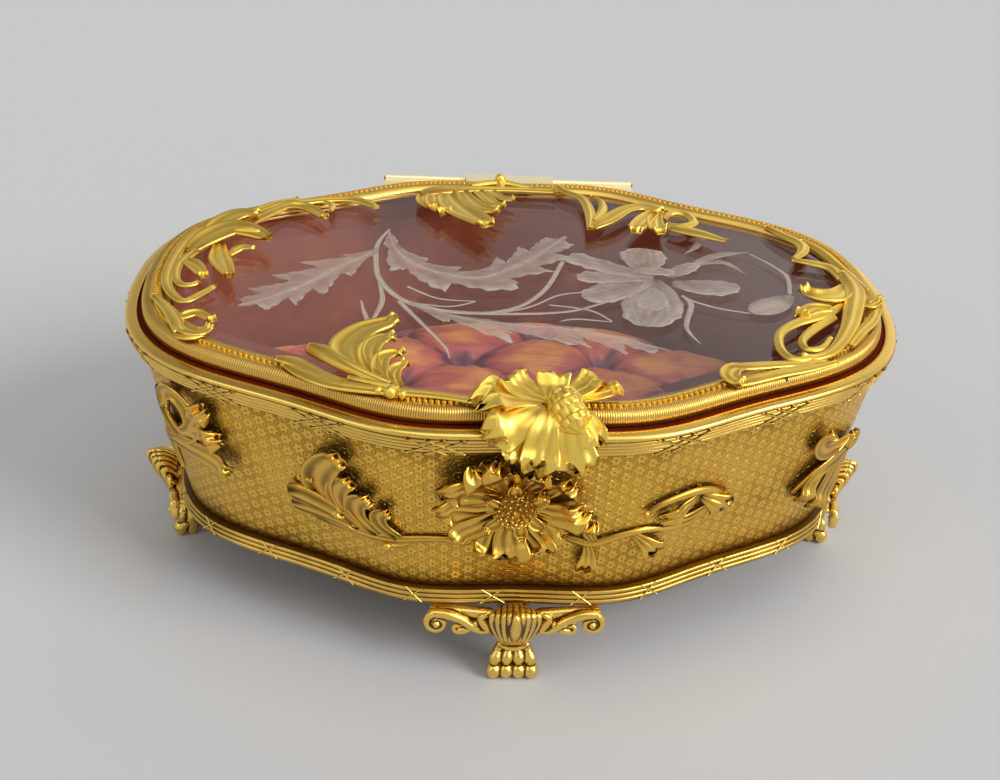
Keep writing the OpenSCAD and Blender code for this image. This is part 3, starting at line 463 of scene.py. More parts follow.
# %% The lid frame and its beads
n_ribs = round((GIRTH - 2 * np.pi * 6) / 0.75)
stations = n_ribs * 4
outer_side = rounded([[5.5, 100.4], [5.5, 103.2], [6.7, 104.8], [9.1, 105.2]], [0, 1.2, 1.0, 0], 4)
rest = np.array([[9.3, 104.9], [10.5, 104.9], [10.8, 105.3], [11.6, 105.35], [14.4, 104.2], [14.5, 103.0], [10.8, 103.0], [10.8, 100.4]])
section = np.concatenate([outer_side, rest])
a = at_length(np.arange(stations) * GIRTH / stations)
wave = 0.5 - 0.5 * np.cos(2 * np.pi * np.arange(stations) / 4)
cut = np.concatenate([np.linspace(0.6, 1, 4), np.ones(len(outer_side) - 5), [0.3], np.zeros(len(rest))])
mid = np.array([10.5, 101.5])
inward = (mid - section) / np.linalg.norm(mid - section, axis=1, keepdims=True)
moved = section[None] + (0.17 * wave)[:, None, None] * (cut[:, None] * inward)[None]
points = inset(a[:, None], moved[..., 0], moved[..., 1])
quads, _ = grid(stations, len(section), True, True)
mark = 0.95 - 0.8 * wave[:, None] * cut[None]
mark[:, len(outer_side) : len(outer_side) + 2] = 0.45
make_piece("lid_frame_milled", shell(points, quads, mark=mark), "lid", gilt_milled, stands_for=("lid_frame",))


def domes(centres, ups, outs, radius, rings=4, sides=8, squash=1.0):
    """Many small domes in one shell: each is a half ball about centre, its pole along up."""
    across = np.cross(ups, outs)
    t = np.linspace(0, np.pi * 0.62, rings)[1:]
    p = np.arange(sides) * 2 * np.pi / sides
    ring = (np.sin(t)[None, :, None, None] * (np.cos(p)[None, None, :, None] * outs[:, None, None] + np.sin(p)[None, None, :, None] * across[:, None, None])
            + squash * np.cos(t)[None, :, None, None] * ups[:, None, None])
    n = len(centres)
    radius = np.broadcast_to(radius, n)[:, None, None, None]
    body = centres[:, None, None] + radius * ring
    pole = centres + squash * radius[:, 0, 0] * ups
    points = np.concatenate([body.reshape(n, -1, 3), pole[:, None]], 1)
    quads, _ = grid(rings - 1, sides, False, True)
    last = (rings - 1) * sides
    j = np.arange(sides)
    tris = np.stack([np.full(sides, last), j, (j + 1) % sides], -1)
    size = last + 1
    shift = (np.arange(n) * size)[:, None, None]
    mark = np.tile(np.concatenate([np.repeat(np.linspace(1.0, 0.2, rings - 1), sides), [1.0]]), n)
    return points.reshape(-1, 3), (quads[:, ::-1][None] + shift).reshape(-1, 4), (tris[None] + shift).reshape(-1, 3), mark


n_beads = round((GIRTH - 2 * np.pi * 9.9) / 1.9)
a = at_length((np.arange(n_beads) + 0.5) * GIRTH / n_beads)
centres = inset(a, 9.95, 105.2)
ups = np.tile([0.0, 0.0, 1.0], (n_beads, 1))
outs = np.concatenate([outward(a), np.zeros((n_beads, 1))], 1)
p, q, t, m = domes(centres, ups, outs, 0.84)
make_piece("lid_bead_row", {"p": p, "q": q, "t": t, "m": m, "uv": None}, "lid", gilt_bright)

# %% [markdown]
# The mounts are cast leaves, petals and scrolls, chased by hand. Each is one strip along a curve:
# a centre line through a few stations, a width that grows and shrinks, a raised rib, lobes that
# bite into its edges, and a thin underside. `cast_leaf` works that out on a grid of `u` along
# and `v` across, and lays it on the lid or the wall, so one function makes every leaf here.

# %% Where a point of a mount lies
_deg = np.arange(-60, 61, 4)
_wall_x = inset(np.radians(270 + _deg), 9.2, 0.0)[:, 0]


def on_lid(a, b, lift):
    """Plan point (a, b) at a height over the lid. Past y = -87 the surface bends down over the
    edge: first a quarter circle of radius 5, then straight down."""
    past = -87.0 - b
    turn = np.clip(past, 0, 5.0 * np.pi / 2) / 5.0
    down = np.maximum(past - 5.0 * np.pi / 2, 0)
    y = np.where(past <= 0, b, -87.0 - (5.0 + lift) * np.sin(turn))
    z = np.where(past <= 0, MOUNT_Z + lift, MOUNT_Z - 5.0 + (5.0 + lift) * np.cos(turn) - down)
    return np.stack([a + 0 * z, y, z], -1)


def on_wall(side, a, b, lift):
    """Point of a long wall from (x, z), or of an end wall from (distance to the front, z)."""
    if side in ("front", "back"):
        turn = np.radians((270 if side == "front" else 90) + np.interp(a, _wall_x, _deg))
    else:
        turn = np.radians(180 + a / 2.1 if side == "left" else -a / 2.1)
    return inset(turn, wall_in(b) - 0.2 - lift, b)


def on_side(side, a, b, lift):
    """One of the two, by the name of the side."""
    return on_lid(a, b, lift) if side == "lid" else on_wall(side, a, b, lift)


def along(stations, n):
    """n evenly spaced rows of a smooth curve through the stations (Catmull-Rom: each stretch
    leaves and arrives along the line between its neighbours)."""
    s = np.asarray(stations, float)
    e = np.concatenate([s[:1], s, s[-1:]])
    t = np.linspace(0, len(s) - 1, 50 * (len(s) - 1) + 1)
    k = np.minimum(t.astype(int), len(s) - 2)
    f = (t - k)[:, None]
    p0, p1, p2, p3 = e[k], e[k + 1], e[k + 2], e[k + 3]
    dense = 0.5 * (2 * p1 + (p2 - p0) * f + (2 * p0 - 5 * p1 + 4 * p2 - p3) * f**2 + (3 * p1 - 3 * p2 + p3 - p0) * f**3)
    run = np.concatenate([[0], np.cumsum(np.linalg.norm(np.diff(dense[:, :2], axis=0), axis=1))])
    even = np.linspace(0, run[-1], n)
    return np.stack([np.interp(even, run, dense[:, c]) for c in range(dense.shape[1])], -1), run[-1]


# %% One cast leaf
STYLES = {
    # lobes along each edge, how deep they bite, their lean, rib height, vein relief, flutes
    # across, how cupped the section is, edge curl, ruffle and drop of the far end, its roundness,
    # how deep the flutes are, how much wider than its stations the strip is made, and how much
    # it flares from its start to its end
    "leaf": dict(lobes=5, bite=0.34, lean=0.7, rib=0.5, vein=0.2, flutes=0, cup=0.2, curl=0.0, ruffle=0.0, drop=0.4, blunt=2.2, groove=0.3, wide=1.1, flare=0.0),
    "plume": dict(lobes=0, bite=0.0, lean=0.3, rib=0.0, vein=0.0, flutes=2, cup=0.75, curl=0.16, ruffle=0.25, drop=1.5, blunt=2.4, groove=0.31, wide=1.24, flare=0.2),
    "petal": dict(lobes=0, bite=0.0, lean=0.0, rib=0.0, vein=0.0, flutes=3, cup=0.4, curl=0.14, ruffle=0.36, drop=1.5, blunt=2.7, groove=0.34, wide=1.05, flare=0.4),
    "stem": dict(lobes=0, bite=0.0, lean=0.0, rib=0.2, vein=0.0, flutes=0, cup=0.0, curl=0.0, ruffle=0.0, drop=0.0, blunt=2.0, groove=0.3, wide=1.1, flare=0.0),
    "reed": dict(lobes=0, bite=0.0, lean=0.0, rib=0.0, vein=0.0, flutes=2, cup=0.25, curl=0.0, ruffle=0.05, drop=0.4, blunt=2.4, groove=0.24, wide=1.18, flare=0.0),
    "bud": dict(lobes=0, bite=0.0, lean=0.0, rib=0.0, vein=0.0, flutes=3, cup=0.0, curl=0.0, ruffle=0.0, drop=0.2, blunt=2.0, groove=0.25, wide=1.1, flare=0.0),
}


def cast_leaf(side, style, stations, ridge=1.6, n=44, m=17, **change):
    """Strip through stations of (a, b, lift, half width). At u along and v across (-1 to 1):
    half width = station width, widened and flared, rounded off at the ends, less a bite between lobes;
    height = lift + ridge * (a dome blended with a cup, its edges raised, cut by flutes, plus a
    rib on the middle) + vein relief between lobes + curl of the edges + ruffle of the far end,
    which humps up and then drops, so that the tip turns over and catches the light.
    The underside runs a little below, and the two meet in a thin edge."""
    k = dict(STYLES[style], **change)
    rows, length = along(stations, n + 2)
    centre, lift, half = rows[1:-1, :2], rows[1:-1, 2:3], rows[1:-1, 3:4]
    d = np.gradient(rows[:, :2], axis=0)[1:-1]
    d /= np.linalg.norm(d, axis=1, keepdims=True)
    side_way = np.stack([-d[:, 1], d[:, 0]], -1)
    u = np.linspace(0, 1, n + 2)[1:-1, None]
    v = np.linspace(-1, 1, m)[None]
    end = max(rows[-1, 3] * 1.1, 0.8)
    start = max(rows[0, 3] * 0.9, 0.6)
    far = np.clip(1 - (1 - u) * length / end, 0, 1)
    nearby = np.clip(1 - u * length / start, 0, 1)
    half = half * k["wide"] * (1 + k["flare"] * (u - 0.5))
    w = half * (1 - far ** k["blunt"]) ** (1 / k["blunt"]) * (1 - nearby**2.4) ** (1 / 2.4)
    own = float(np.sum([sum(one) for one in stations])) * 1.7
    bent = v + 0.1 * np.sin(5 * u + own) * (1 - v**2) * (k["flutes"] > 0)
    phase = k["lobes"] * u - 0.15 * np.abs(v)
    lobe = np.abs(np.sin(np.pi * phase)) ** 0.6 if k["lobes"] else np.ones_like(u * v)
    grow = np.clip(u * 6, 0, 1) * np.clip((1 - u) * 5, 0, 1)
    reach = v * w * (1 - k["bite"] * grow * (1 - lobe) * np.abs(v) ** 1.5)
    forward = k["lean"] * w * v**2 * 0.6
    frill = k["ruffle"] * half * far**0.5 * (np.cos(np.pi * (k["flutes"] or 3) * bent) + 0.5 * np.cos(5.1 * v + own))
    a = centre[:, :1] + side_way[:, :1] * reach + d[:, :1] * (forward + frill)
    b = centre[:, 1:] + side_way[:, 1:] * reach + d[:, 1:] * (forward + frill)
    tall = ridge * np.minimum(1, 0.35 + w / 4)
    dome = 1 - v**2
    rib = np.exp(-((v / 0.15) ** 2))
    flute = 0.5 + 0.5 * np.cos(np.pi * k["flutes"] * bent + 0.3 * np.sin(own)) if k["flutes"] else np.ones_like(v)
    depth = k["groove"] if k["flutes"] else 0.0
    section = (1 - k["cup"]) * dome**0.8 + k["cup"] * (0.3 + 0.7 * v**2) * np.clip((1 - np.abs(v)) * 6 + 0.4, 0, 1)
    body = tall * ((1 - 0.35 * k["rib"]) * section - depth * (1 - flute) * np.sqrt(dome) * np.clip(u * 3, 0.4, 1) + 0.35 * k["rib"] * rib)
    turned = (1 - u) * length / end
    body = body + k["drop"] * ridge * (0.6 * np.exp(-((turned - 0.9) ** 2) / 0.3) - 0.8 * np.clip(1 - turned, 0, 1) ** 2)
    relief = k["vein"] * w * (lobe - 0.6) * np.abs(v) * grow
    wave = k["ruffle"] * half * u**2 * (0.5 * np.cos(np.pi * (k["flutes"] or 3) * bent + np.pi) + 0.7 * np.cos(3.7 * v + own)) * np.abs(v) ** 0.5
    height = body + relief + k["curl"] * w * np.abs(v) ** 3 + wave
    top = on_side(side, a, b, lift + height)
    inner = slice(1, m - 1)
    thick = 0.35 + 0.75 * dome[:, inner] * np.minimum(1, w / 1.5)
    low = on_side(side, a[:, inner], b[:, inner], lift + np.maximum(height[:, inner] * 0.55 - thick, -0.15))
    loop = np.concatenate([top, low[:, ::-1]], 1)
    quads, _ = grid(n, loop.shape[1], False, True)
    ends = []
    for row, near_row in ((0, 0), (-1, -1)):
        ends.append(on_side(side, rows[row, :1], rows[row, 1:2], rows[row, 2:3] + 0.25 * tall[near_row, :1]))
    count = loop.shape[1]
    j = np.arange(count)
    first, last = n * count, n * count + 1
    tris = np.concatenate([
        np.stack([np.full(count, first), (j + 1) % count, j], -1),
        np.stack([np.full(count, last), (n - 1) * count + j, (n - 1) * count + (j + 1) % count], -1),
    ])
    edge = np.clip(np.abs(v) * 4 - 3, 0, 1) * k["cup"]
    groove = 0.35 + 0.3 * (flute if k["flutes"] else dome) + 0.2 * rib + 0.4 * edge + 0.3 * np.exp(-((turned - 0.7) ** 2) / 0.4)
    groove = np.clip(groove - 0.4 * np.clip(1 - u * 4, 0, 1), 0, 1) + 0 * height
    mark = np.concatenate([groove, np.full((n, m - 2), 0.1)], 1)
    points = np.concatenate([loop.reshape(-1, 3)] + [e.reshape(1, 3) for e in ends])
    return shell(points, quads, tris, np.concatenate([mark.ravel(), [0.6, 0.6]]))


def ball(centre, radii, turn=None, rings=10, sides=16, marks=None, bumps=None):
    """Closed ellipsoid: rings of latitude and sides of longitude, turned by a 3 by 3 matrix whose
    last column is its pole. bumps(t, p) may swell the radius."""
    t = np.linspace(0, np.pi, rings + 2)[1:-1, None]
    p = np.arange(sides)[None] * 2 * np.pi / sides
    r = 1.0 if bumps is None else bumps(t, p)
    x = np.stack([np.sin(t) * np.cos(p) * r, np.sin(t) * np.sin(p) * r, np.cos(t) * r + 0 * p], -1) * np.asarray(radii)
    poles = np.array([[0, 0, 1.0], [0, 0, -1.0]]) * np.asarray(radii)
    points = np.concatenate([x.reshape(-1, 3), poles])
    if turn is not None:
        points = points @ np.asarray(turn).T
    quads, _ = grid(rings, sides, False, True)
    j = np.arange(sides)
    n = rings * sides
    tris = np.concatenate([
        np.stack([np.full(sides, n), j, (j + 1) % sides], -1),
        np.stack([np.full(sides, n + 1), (rings - 1) * sides + (j + 1) % sides, (rings - 1) * sides + j], -1),
    ])
    mark = np.full(len(points), 0.85) if marks is None else np.concatenate([np.broadcast_to(marks(t, p), (rings, sides)).ravel(), [0.9, 0.6]])
    return shell(points + np.asarray(centre), quads, tris, mark)


def bead(side, a, b, lift, r):
    """A small ball on a surface."""
    return ball(on_side(side, np.array([a]), np.array([b]), np.array([lift]))[0], (r, r, r), rings=7, sides=12)

# %% [markdown]
# Now the castings themselves. A list gives, for each strip, its kind and the stations its middle
# passes through. On the lid a station is (x, y, height over the frame, half width). The leaves
# that rise over the glass lift towards their tips, as the real ones do, so they throw shadows.

# %% Castings on the lid
def casting(name, side, strips, body, slot, material, stands_for, extra=(), **change):
    """All strips of one casting, and any beads, merged into one piece."""
    shells = [cast_leaf(side, style, stations, *rest, **change) for style, stations, *rest in strips]
    return make_piece(name, merged(shells + list(extra)), body, material, stands_for=stands_for)


casting("leaf_spray_front", "lid", [
    ("reed", [(-72, -61, 0.2, 0.8), (-66, -67, 0.4, 2), (-57, -73, 0.4, 2.3), (-46, -76, 0.4, 2), (-36, -77.4, 0.5, 1.7), (-25, -79, 0.6, 1.5), (-13, -82.4, 0.8, 1.3)]),
    ("reed", [(-74, -60, 1.0, 1.2), (-68, -62, 0.8, 2.2), (-60, -68, 0.6, 1.6), (-52, -73, 0.5, 1)]),
    ("bud", [(-65, -54, 1.0, 1.8), (-59, -58, 1.2, 3.2), (-52, -65, 1, 2.4), (-44, -71, 0.6, 1.6), (-38, -75, 0.4, 1.2)], 2.8),
    ("plume", [(-42, -72, 0.2, 2), (-50, -64, 0.8, 3.6), (-53, -54, 1.4, 4.6), (-49, -45, 2.2, 3.6), (-43, -41, 2.8, 2.6), (-38, -39, 3.2, 1.8)], 1.8),
    ("plume", [(-41, -72, 0.4, 1.8), (-45.5, -64, 1, 2.6), (-46.5, -56, 1.8, 2.9), (-43.4, -50.4, 2.4, 2.2), (-38.6, -49.6, 2.8, 1.4)], 1.8),
    ("plume", [(-39, -73, 0.4, 1.6), (-42.6, -67, 1, 2.3), (-42.4, -61, 1.6, 2.2), (-39.4, -58.2, 2, 1.6), (-36, -59, 2.2, 1.1)], 1.7),
    ("plume", [(-36.6, -75, 0.4, 1.4), (-38.6, -70, 0.8, 1.9), (-38, -66, 1.4, 1.7), (-34.6, -63.6, 1.8, 1)], 1.6),
    ("stem", [(-52, -70, 0.8, 1), (-44, -73, 1, 1.1), (-36, -76, 1, 1)], 1.4),
], "lid", "gilt_lid_mount", gilt_bright, ("lid_leaf_front",), [bead("lid", -39, -79, 1.6, 2.0), bead("lid", -42.6, -77.6, 1.2, 1.3), bead("lid", -35.6, -79.6, 1.2, 1.3)])

casting("leaf_left", "lid", [
    ("reed", [(-117, -20, 0.3, 1), (-111, -29, 0.6, 1.7), (-106.5, -38, 0.8, 2.2), (-104, -46, 0.6, 1.6)]),
    ("plume", [(-109, -34, 0.4, 1.5), (-105, -35.6, 0.8, 1.8), (-100.6, -34, 1.2, 1.6), (-95, -39, 1.4, 1)]),
    ("plume", [(-105.4, -40, 0.6, 2.2), (-102, -44.6, 1, 2.4), (-98, -46, 1.2, 1.8), (-95, -42.4, 1.4, 0.9)]),
    ("stem", [(-106, -46.6, 0.6, 1.2), (-101, -48.4, 0.8, 1.3), (-96.6, -46.4, 1, 0.8)], 1.2),
], "lid", "gilt_lid_mount", gilt_bright, ("lid_leaf_left",))

casting("scroll_left", "lid", [
    ("reed", [(-106, 35, 0.3, 1.2), (-112, 22, 0.5, 1.8), (-114.6, 5, 0.5, 1.8), (-114, -11, 0.6, 1.6), (-110, -21, 0.6, 1.4), (-106, -24.6, 0.7, 1.3), (-102, -20, 0.8, 1.2), (-97.4, -13, 1, 0.8)]),
    ("reed", [(-103.6, 20, 0.6, 1.4), (-109, 10, 0.8, 1.6), (-112, 0, 0.8, 1.4), (-111, -10, 0.8, 1.2), (-107.6, -13.8, 0.8, 1.2), (-103, -11.4, 0.9, 0.9)]),
    ("plume", [(-111, 4, 0.6, 1.4), (-107, 0, 1.1, 2.4), (-102.4, -8.6, 1.2, 1.1)]),
    ("plume", [(-110, 10, 0.6, 2.4), (-105, 19, 1.6, 4.4), (-98, 25.6, 2.4, 4.6), (-91, 23.4, 2.6, 3.4), (-84, 18, 2.4, 1.2)], 2.2),
    ("plume", [(-106, 20, 0.6, 2.2), (-103, 31, 1.4, 3.4), (-97, 38.6, 2, 3), (-90, 38, 2.2, 1.4)], 2),
    ("plume", [(-101, 17, 0.6, 1.8), (-99.4, 5, 1.2, 3), (-96.6, -3, 1.6, 2.4), (-93.6, -10, 1.8, 1)], 2),
    ("stem", [(-98, 25, 1.8, 1.4), (-92, 24.6, 2.4, 2), (-87.6, 22.4, 2.4, 1.2)], 2.6),
    ("reed", [(-97, 9, 0.8, 1), (-93.4, 13.4, 1.6, 1.7), (-88.4, 12.6, 2, 1)]),
], "lid", "gilt_lid_mount", gilt_bright, ("lid_scroll_left",))

casting("branch_back_left", "lid", [
    ("reed", [(-94, 34, 0.6, 1.6), (-89, 42, 0.6, 2), (-84, 49.4, 0.6, 2.2), (-76, 55.4, 0.6, 2), (-63, 59, 0.6, 1.7), (-55, 57.2, 0.7, 2), (-49, 50.6, 0.9, 1.2)]),
    ("plume", [(-85, 49, 0.4, 1.4), (-79, 50.6, 0.8, 2), (-73, 48, 1, 2), (-67, 40, 1.2, 1)]),
    ("stem", [(-72, 57, 0.4, 0.9), (-66, 54.4, 0.6, 1.2), (-66, 47, 1, 0.8)], 1.2),
    ("reed", [(-100, 26, 0.4, 1.2), (-96, 40, 0.5, 1.6), (-88, 52, 0.5, 1.6), (-78, 58.6, 0.5, 1.2)]),
], "lid", "gilt_lid_mount", gilt_bright, ("lid_branch_back_left",))

casting("leaf_back", "lid", [
    ("reed", [(-35, 65, 0.4, 1.4), (-29, 68, 1, 3), (-19, 71, 0.8, 2.4), (-4, 73, 0.6, 1.9), (8, 72.8, 0.6, 1.7), (18, 72, 0.6, 1.4)]),
    ("plume", [(-24, 69, 0.3, 2.6), (-23, 58, 1.2, 4.4), (-19, 47, 2.2, 4.6), (-13, 38, 3, 3.4), (-9.6, 32, 3.2, 2)], 2),
    ("plume", [(-19, 69, 0.5, 2.2), (-16, 58, 1.4, 3), (-11.4, 49.6, 2.2, 2.6), (-5, 46.6, 2.6, 1.3)], 1.9),
    ("plume", [(-13, 70, 0.5, 1.9), (-10, 62, 1.2, 2.3), (-7, 55.4, 1.8, 1.9), (-2.6, 53.4, 2.2, 1)], 1.8),
    ("plume", [(-8, 71, 0.5, 1.6), (-5.6, 65, 1, 1.8), (-2, 61.6, 1.4, 1.3), (1, 61.6, 1.6, 0.8)], 1.5),
    ("plume", [(-29, 67, 0.3, 2.2), (-28.6, 56, 1.2, 3.2), (-24.6, 45.6, 1.8, 1.8)], 1.9),
    ("plume", [(-33, 66, 0.3, 1.8), (-32.6, 58, 1, 2.4), (-29, 51, 1.4, 1.1)], 1.7),
    ("stem", [(-16, 75.4, 0.6, 1.2), (-8, 78.4, 0.8, 1.6), (-1, 78.4, 0.8, 1.5), (8, 74.6, 0.6, 1)], 1.6),
    ("stem", [(-4, 72, 0.4, 1.4), (-4, 76, 0.8, 1.6), (-4, 80, 1, 1.2)]),
], "lid", "gilt_lid_mount", gilt_bright, ("lid_leaf_back",), [bead("lid", -4, 79.4, 2.2, 2.1)])

casting("scroll_back_right", "lid", [
    ("reed", [(18.2, 78.8, 0.4, 1.4), (20.2, 73, 0.5, 1.6), (26.4, 66, 0.7, 1.7), (28.4, 53, 0.9, 1.8), (27, 36.4, 1.4, 0.8)]),
    ("stem", [(30, 69.4, 0.4, 1), (33.6, 63.6, 0.6, 1.4), (33.2, 55, 0.8, 1.7), (29, 44, 1, 1.6)]),
    ("plume", [(27.6, 38, 0.8, 1.2), (34, 44.6, 1, 2.8), (42, 54.6, 1.2, 2.3), (49, 58.4, 0.8, 2), (55.4, 54, 0.8, 2)], 1.8),
    ("plume", [(53.6, 56, 0.6, 1.8), (48.6, 47, 1.4, 2.8), (44.6, 38, 2, 2.6), (43.6, 33.6, 2.2, 1.5)], 1.8),
    ("plume", [(54, 55, 0.6, 1.6), (51.6, 45, 1.5, 2.6), (51.6, 36.4, 2.1, 2.4), (52.4, 33, 2.2, 1.5)], 1.8),
    ("stem", [(55, 48, 0.6, 1.4), (58.6, 54.6, 0.8, 1.4), (64.4, 54, 0.8, 1.6), (66.4, 47, 0.8, 1.7), (61, 42.4, 1, 2), (55.6, 45, 0.8, 1.6)]),
    ("reed", [(56.6, 42, 0.8, 2), (65, 37, 1.4, 2.6), (76.4, 28.6, 2, 0.9)]),
], "lid", "gilt_lid_mount", gilt_bright, ("lid_scroll_back_right",))

casting("scroll_right", "lid", [
    ("reed", [(93, 47, 0.3, 1.1), (98, 38.6, 0.6, 1.8), (103, 31, 0.7, 2.1), (102.4, 24, 0.9, 1.8), (97.4, 17, 1.2, 1)]),
    ("reed", [(96.6, 17, 1.2, 0.9), (104, 14.8, 1, 1.8), (110, 11.4, 0.8, 1.9), (112.4, 2, 0.8, 2)]),
    ("stem", [(103.4, 35, 0.4, 1.3), (109.4, 26, 0.5, 1.7), (114, 12, 0.5, 1.8), (119, -5, 0.6, 1.2)]),
    ("reed", [(112.6, 9, 0.6, 2), (113.8, -6, 1.4, 3.2), (110.4, -20, 1.8, 3), (105.4, -34, 1.2, 2.4), (98, -47, 0.8, 1.7), (90.6, -52, 0.7, 1.4), (86, -50, 0.7, 1.1)], 2.2),
    ("plume", [(112.4, -4, 0.8, 2.6), (106.4, -12.6, 1.8, 3.6), (99.4, -14.4, 2.4, 2.8), (94.6, -9.6, 2.6, 1.2)], 2.2),
    ("plume", [(113, -12, 0.6, 2), (116.6, -17, 1.2, 1.9), (121.6, -12.6, 1.4, 0.9)], 1.8),
    ("stem", [(110.4, -13, 0.6, 2), (100, -23.4, 1, 2.2), (89, -30.6, 1.2, 2), (82.4, -38, 1.1, 1.6), (81, -48, 1, 1.5), (84.4, -54, 0.9, 1.4), (92, -50.6, 0.8, 1)]),
    ("stem", [(103.6, -24, 0.6, 1.5), (94.4, -33.6, 0.9, 1.8), (89, -41.6, 0.9, 1.4), (89.6, -47, 0.8, 1.3), (94.6, -45.6, 0.8, 1.2), (99, -38.4, 0.8, 0.9)]),
    ("plume", [(104, -21, 1, 1.8), (97, -22, 1.8, 2.6), (91, -27, 2, 1.6)], 1.9),
    ("reed", [(121, -14, 0.4, 1.1), (115.4, -26, 0.6, 1.8), (109.4, -34.6, 0.6, 1.7), (103.4, -44.6, 0.5, 1.2)]),
], "lid", "gilt_lid_mount", gilt_bright, ("lid_scroll_right",))

casting("blade_right", "lid", [
    ("reed", [(60.6, -59.4, 0.6, 1.6), (68, -59, 0.9, 1.9), (77, -57.2, 0.7, 1.7), (86, -55.4, 0.5, 1.3), (95, -53.6, 0.4, 0.9)]),
    ("reed", [(62, -69.4, 0.3, 1.4), (69, -66.4, 0.6, 2.1), (78, -62.2, 0.6, 1.9), (88, -58.4, 0.5, 1.6), (98, -53.6, 0.4, 0.9)]),
    ("plume", [(68, -58.6, 0.5, 1.6), (63.4, -61.6, 1, 2.6), (62, -66, 1, 2.4), (65.6, -69.6, 0.6, 1.3)]),
    ("stem", [(71, -64.4, 0.6, 0.9), (80, -60, 0.7, 1.2), (90, -56, 0.6, 0.9)], 1.3),
], "lid", "gilt_lid_mount", gilt_bright, ("lid_blade_right",))

# %% [markdown]
# The clasp is a full-blown flower. Its upper petals stand round the thistle head and the lower
# ones hang over the edge of the lid, where a finger lifts it. Petals are the same strips with a
# fluted section and a frilled end, laid over each other in two rows.

# %% The clasp flower and its thistle head
casting("clasp_flower_petals", "lid", [
    ("petal", [(5, -83.6, 0.8, 2.8), (-1, -82.6, 1.8, 5.0), (-8, -83.2, 2.4, 6.0), (-13.4, -85.2, 1.6, 4.6)], 1.9),
    ("petal", [(5, -86, 0.6, 2.4), (-1, -89, 1.4, 4.6), (-7, -91.6, 1.4, 5.2), (-11.4, -94, 1.0, 4.2)], 1.9),
    ("petal", [(6.4, -82.6, 0.7, 2.6), (1, -79.6, 1.8, 4.6), (-4, -75.6, 2.6, 4.6), (-6, -73, 2.8, 3)], 1.9),
    ("petal", [(7.4, -82, 0.8, 2.6), (7.6, -77.4, 2.0, 4.4), (8, -72.6, 3.0, 4.4), (7.8, -70.6, 3.0, 3)], 1.9),
    ("petal", [(9.2, -82, 0.7, 2.4), (14.6, -78.4, 2.0, 3.8), (19.4, -75, 2.8, 3.8), (21.4, -73.6, 2.8, 2.6)], 1.9),
    ("petal", [(10.4, -82.6, 0.8, 2.2), (18.6, -80, 1.8, 3.0), (25, -78, 2.4, 2.6), (28, -77.6, 2.6, 2)], 1.8),
    ("petal", [(6.2, -85.2, 0.8, 2.4), (1, -91, 1, 3.6), (-3, -97, 1.2, 3.4), (-4.4, -101.6, 2.2, 2.2)], 1.8),
    ("petal", [(7.4, -85.8, 0.9, 2.8), (4.8, -93, 1.2, 4.6), (3.6, -99.6, 1.6, 5.2), (2.6, -104.2, 1.6, 4.4)], 1.9),
    ("petal", [(9.2, -85.8, 0.9, 2.8), (12.4, -93, 1.4, 4.8), (14.6, -100, 2.0, 5.6), (16, -104.6, 1.8, 4.6)], 1.9),
    ("petal", [(10.4, -85, 0.6, 2.2), (17, -91, 0.8, 3.2), (21, -96.4, 1.0, 2.8)], 1.7),
], "lid", "gilt_lid_mount", gilt_bright, ("clasp_flower",), groove=0.24, ruffle=0.42)


def scaled_head(base, tip, section, name, body, material, stands_for, scales=9, rows=6):
    """A bud of overlapping scales: a section of (distance, radius) turned round the line from
    base to tip, its radius swelling under each scale. Rows of scales are staggered by half."""
    axis = np.array(tip, float) - base
    length = np.linalg.norm(axis)
    axis /= length
    side_a = np.cross(axis, [0.0, 0.0, 1.0])
    side_a /= np.linalg.norm(side_a)
    side_b = np.cross(axis, side_a)
    t = np.linspace(0, 1, 90)[:, None]
    p = np.arange(96)[None] * 2 * np.pi / 96
    section = np.asarray(section, float)
    r0 = np.interp(t, section[:, 0], section[:, 1])
    row = t * rows
    across = (p * scales / (2 * np.pi) + 0.5 * np.floor(row)) % 1 - 0.5
    inside = np.clip(1 - (2 * np.abs(across)) ** 2.2 - 0.35 * (row % 1), 0, 1)
    lift = (0.35 + 0.65 * (row % 1)) * inside**0.5
    fade = np.clip((0.93 - t) * 8, 0, 1)
    r = r0 * (1 + 0.2 * (lift - 0.35) * fade)
    pts = (np.array(base) + axis * length * t[..., None] + r[..., None] * (np.cos(p)[..., None] * side_a + np.sin(p)[..., None] * side_b))
    quads, _ = grid(90, 96, False, True)
    ends = np.stack([np.array(base), np.array(tip)])
    j = np.arange(96)
    n = 90 * 96
    tris = np.concatenate([np.stack([np.full(96, n), j, (j + 1) % 96], -1), np.stack([np.full(96, n + 1), 89 * 96 + (j + 1) % 96, 89 * 96 + j], -1)])
    mark = np.concatenate([np.clip(0.15 + lift * 0.9, 0, 1).ravel(), [0.5, 0.5]])
    s = shell(np.concatenate([pts.reshape(-1, 3), ends]), quads, tris, mark)
    return make_piece(name, s, body, material, stands_for=stands_for)


R = 5.2
way = np.array([math.cos(math.radians(-62)), math.sin(math.radians(-62)), -0.42])
way /= np.linalg.norm(way)
foot = np.array([8.6, -82.0, MOUNT_Z + R - 0.3])
scaled_head(foot, foot + way * 15.6, [(0, 0.2), (0.01, 3.1), (0.16, 4.8), (0.38, 5.2), (0.64, 4.55), (0.7, 4.5), (0.73, 5.0), (0.78, 4.6), (0.84, 4.25), (0.94, 2.4), (0.99, 0.3)],
            "clasp_thistle_head", "lid", gilt_bright, ("clasp_seed_head",))
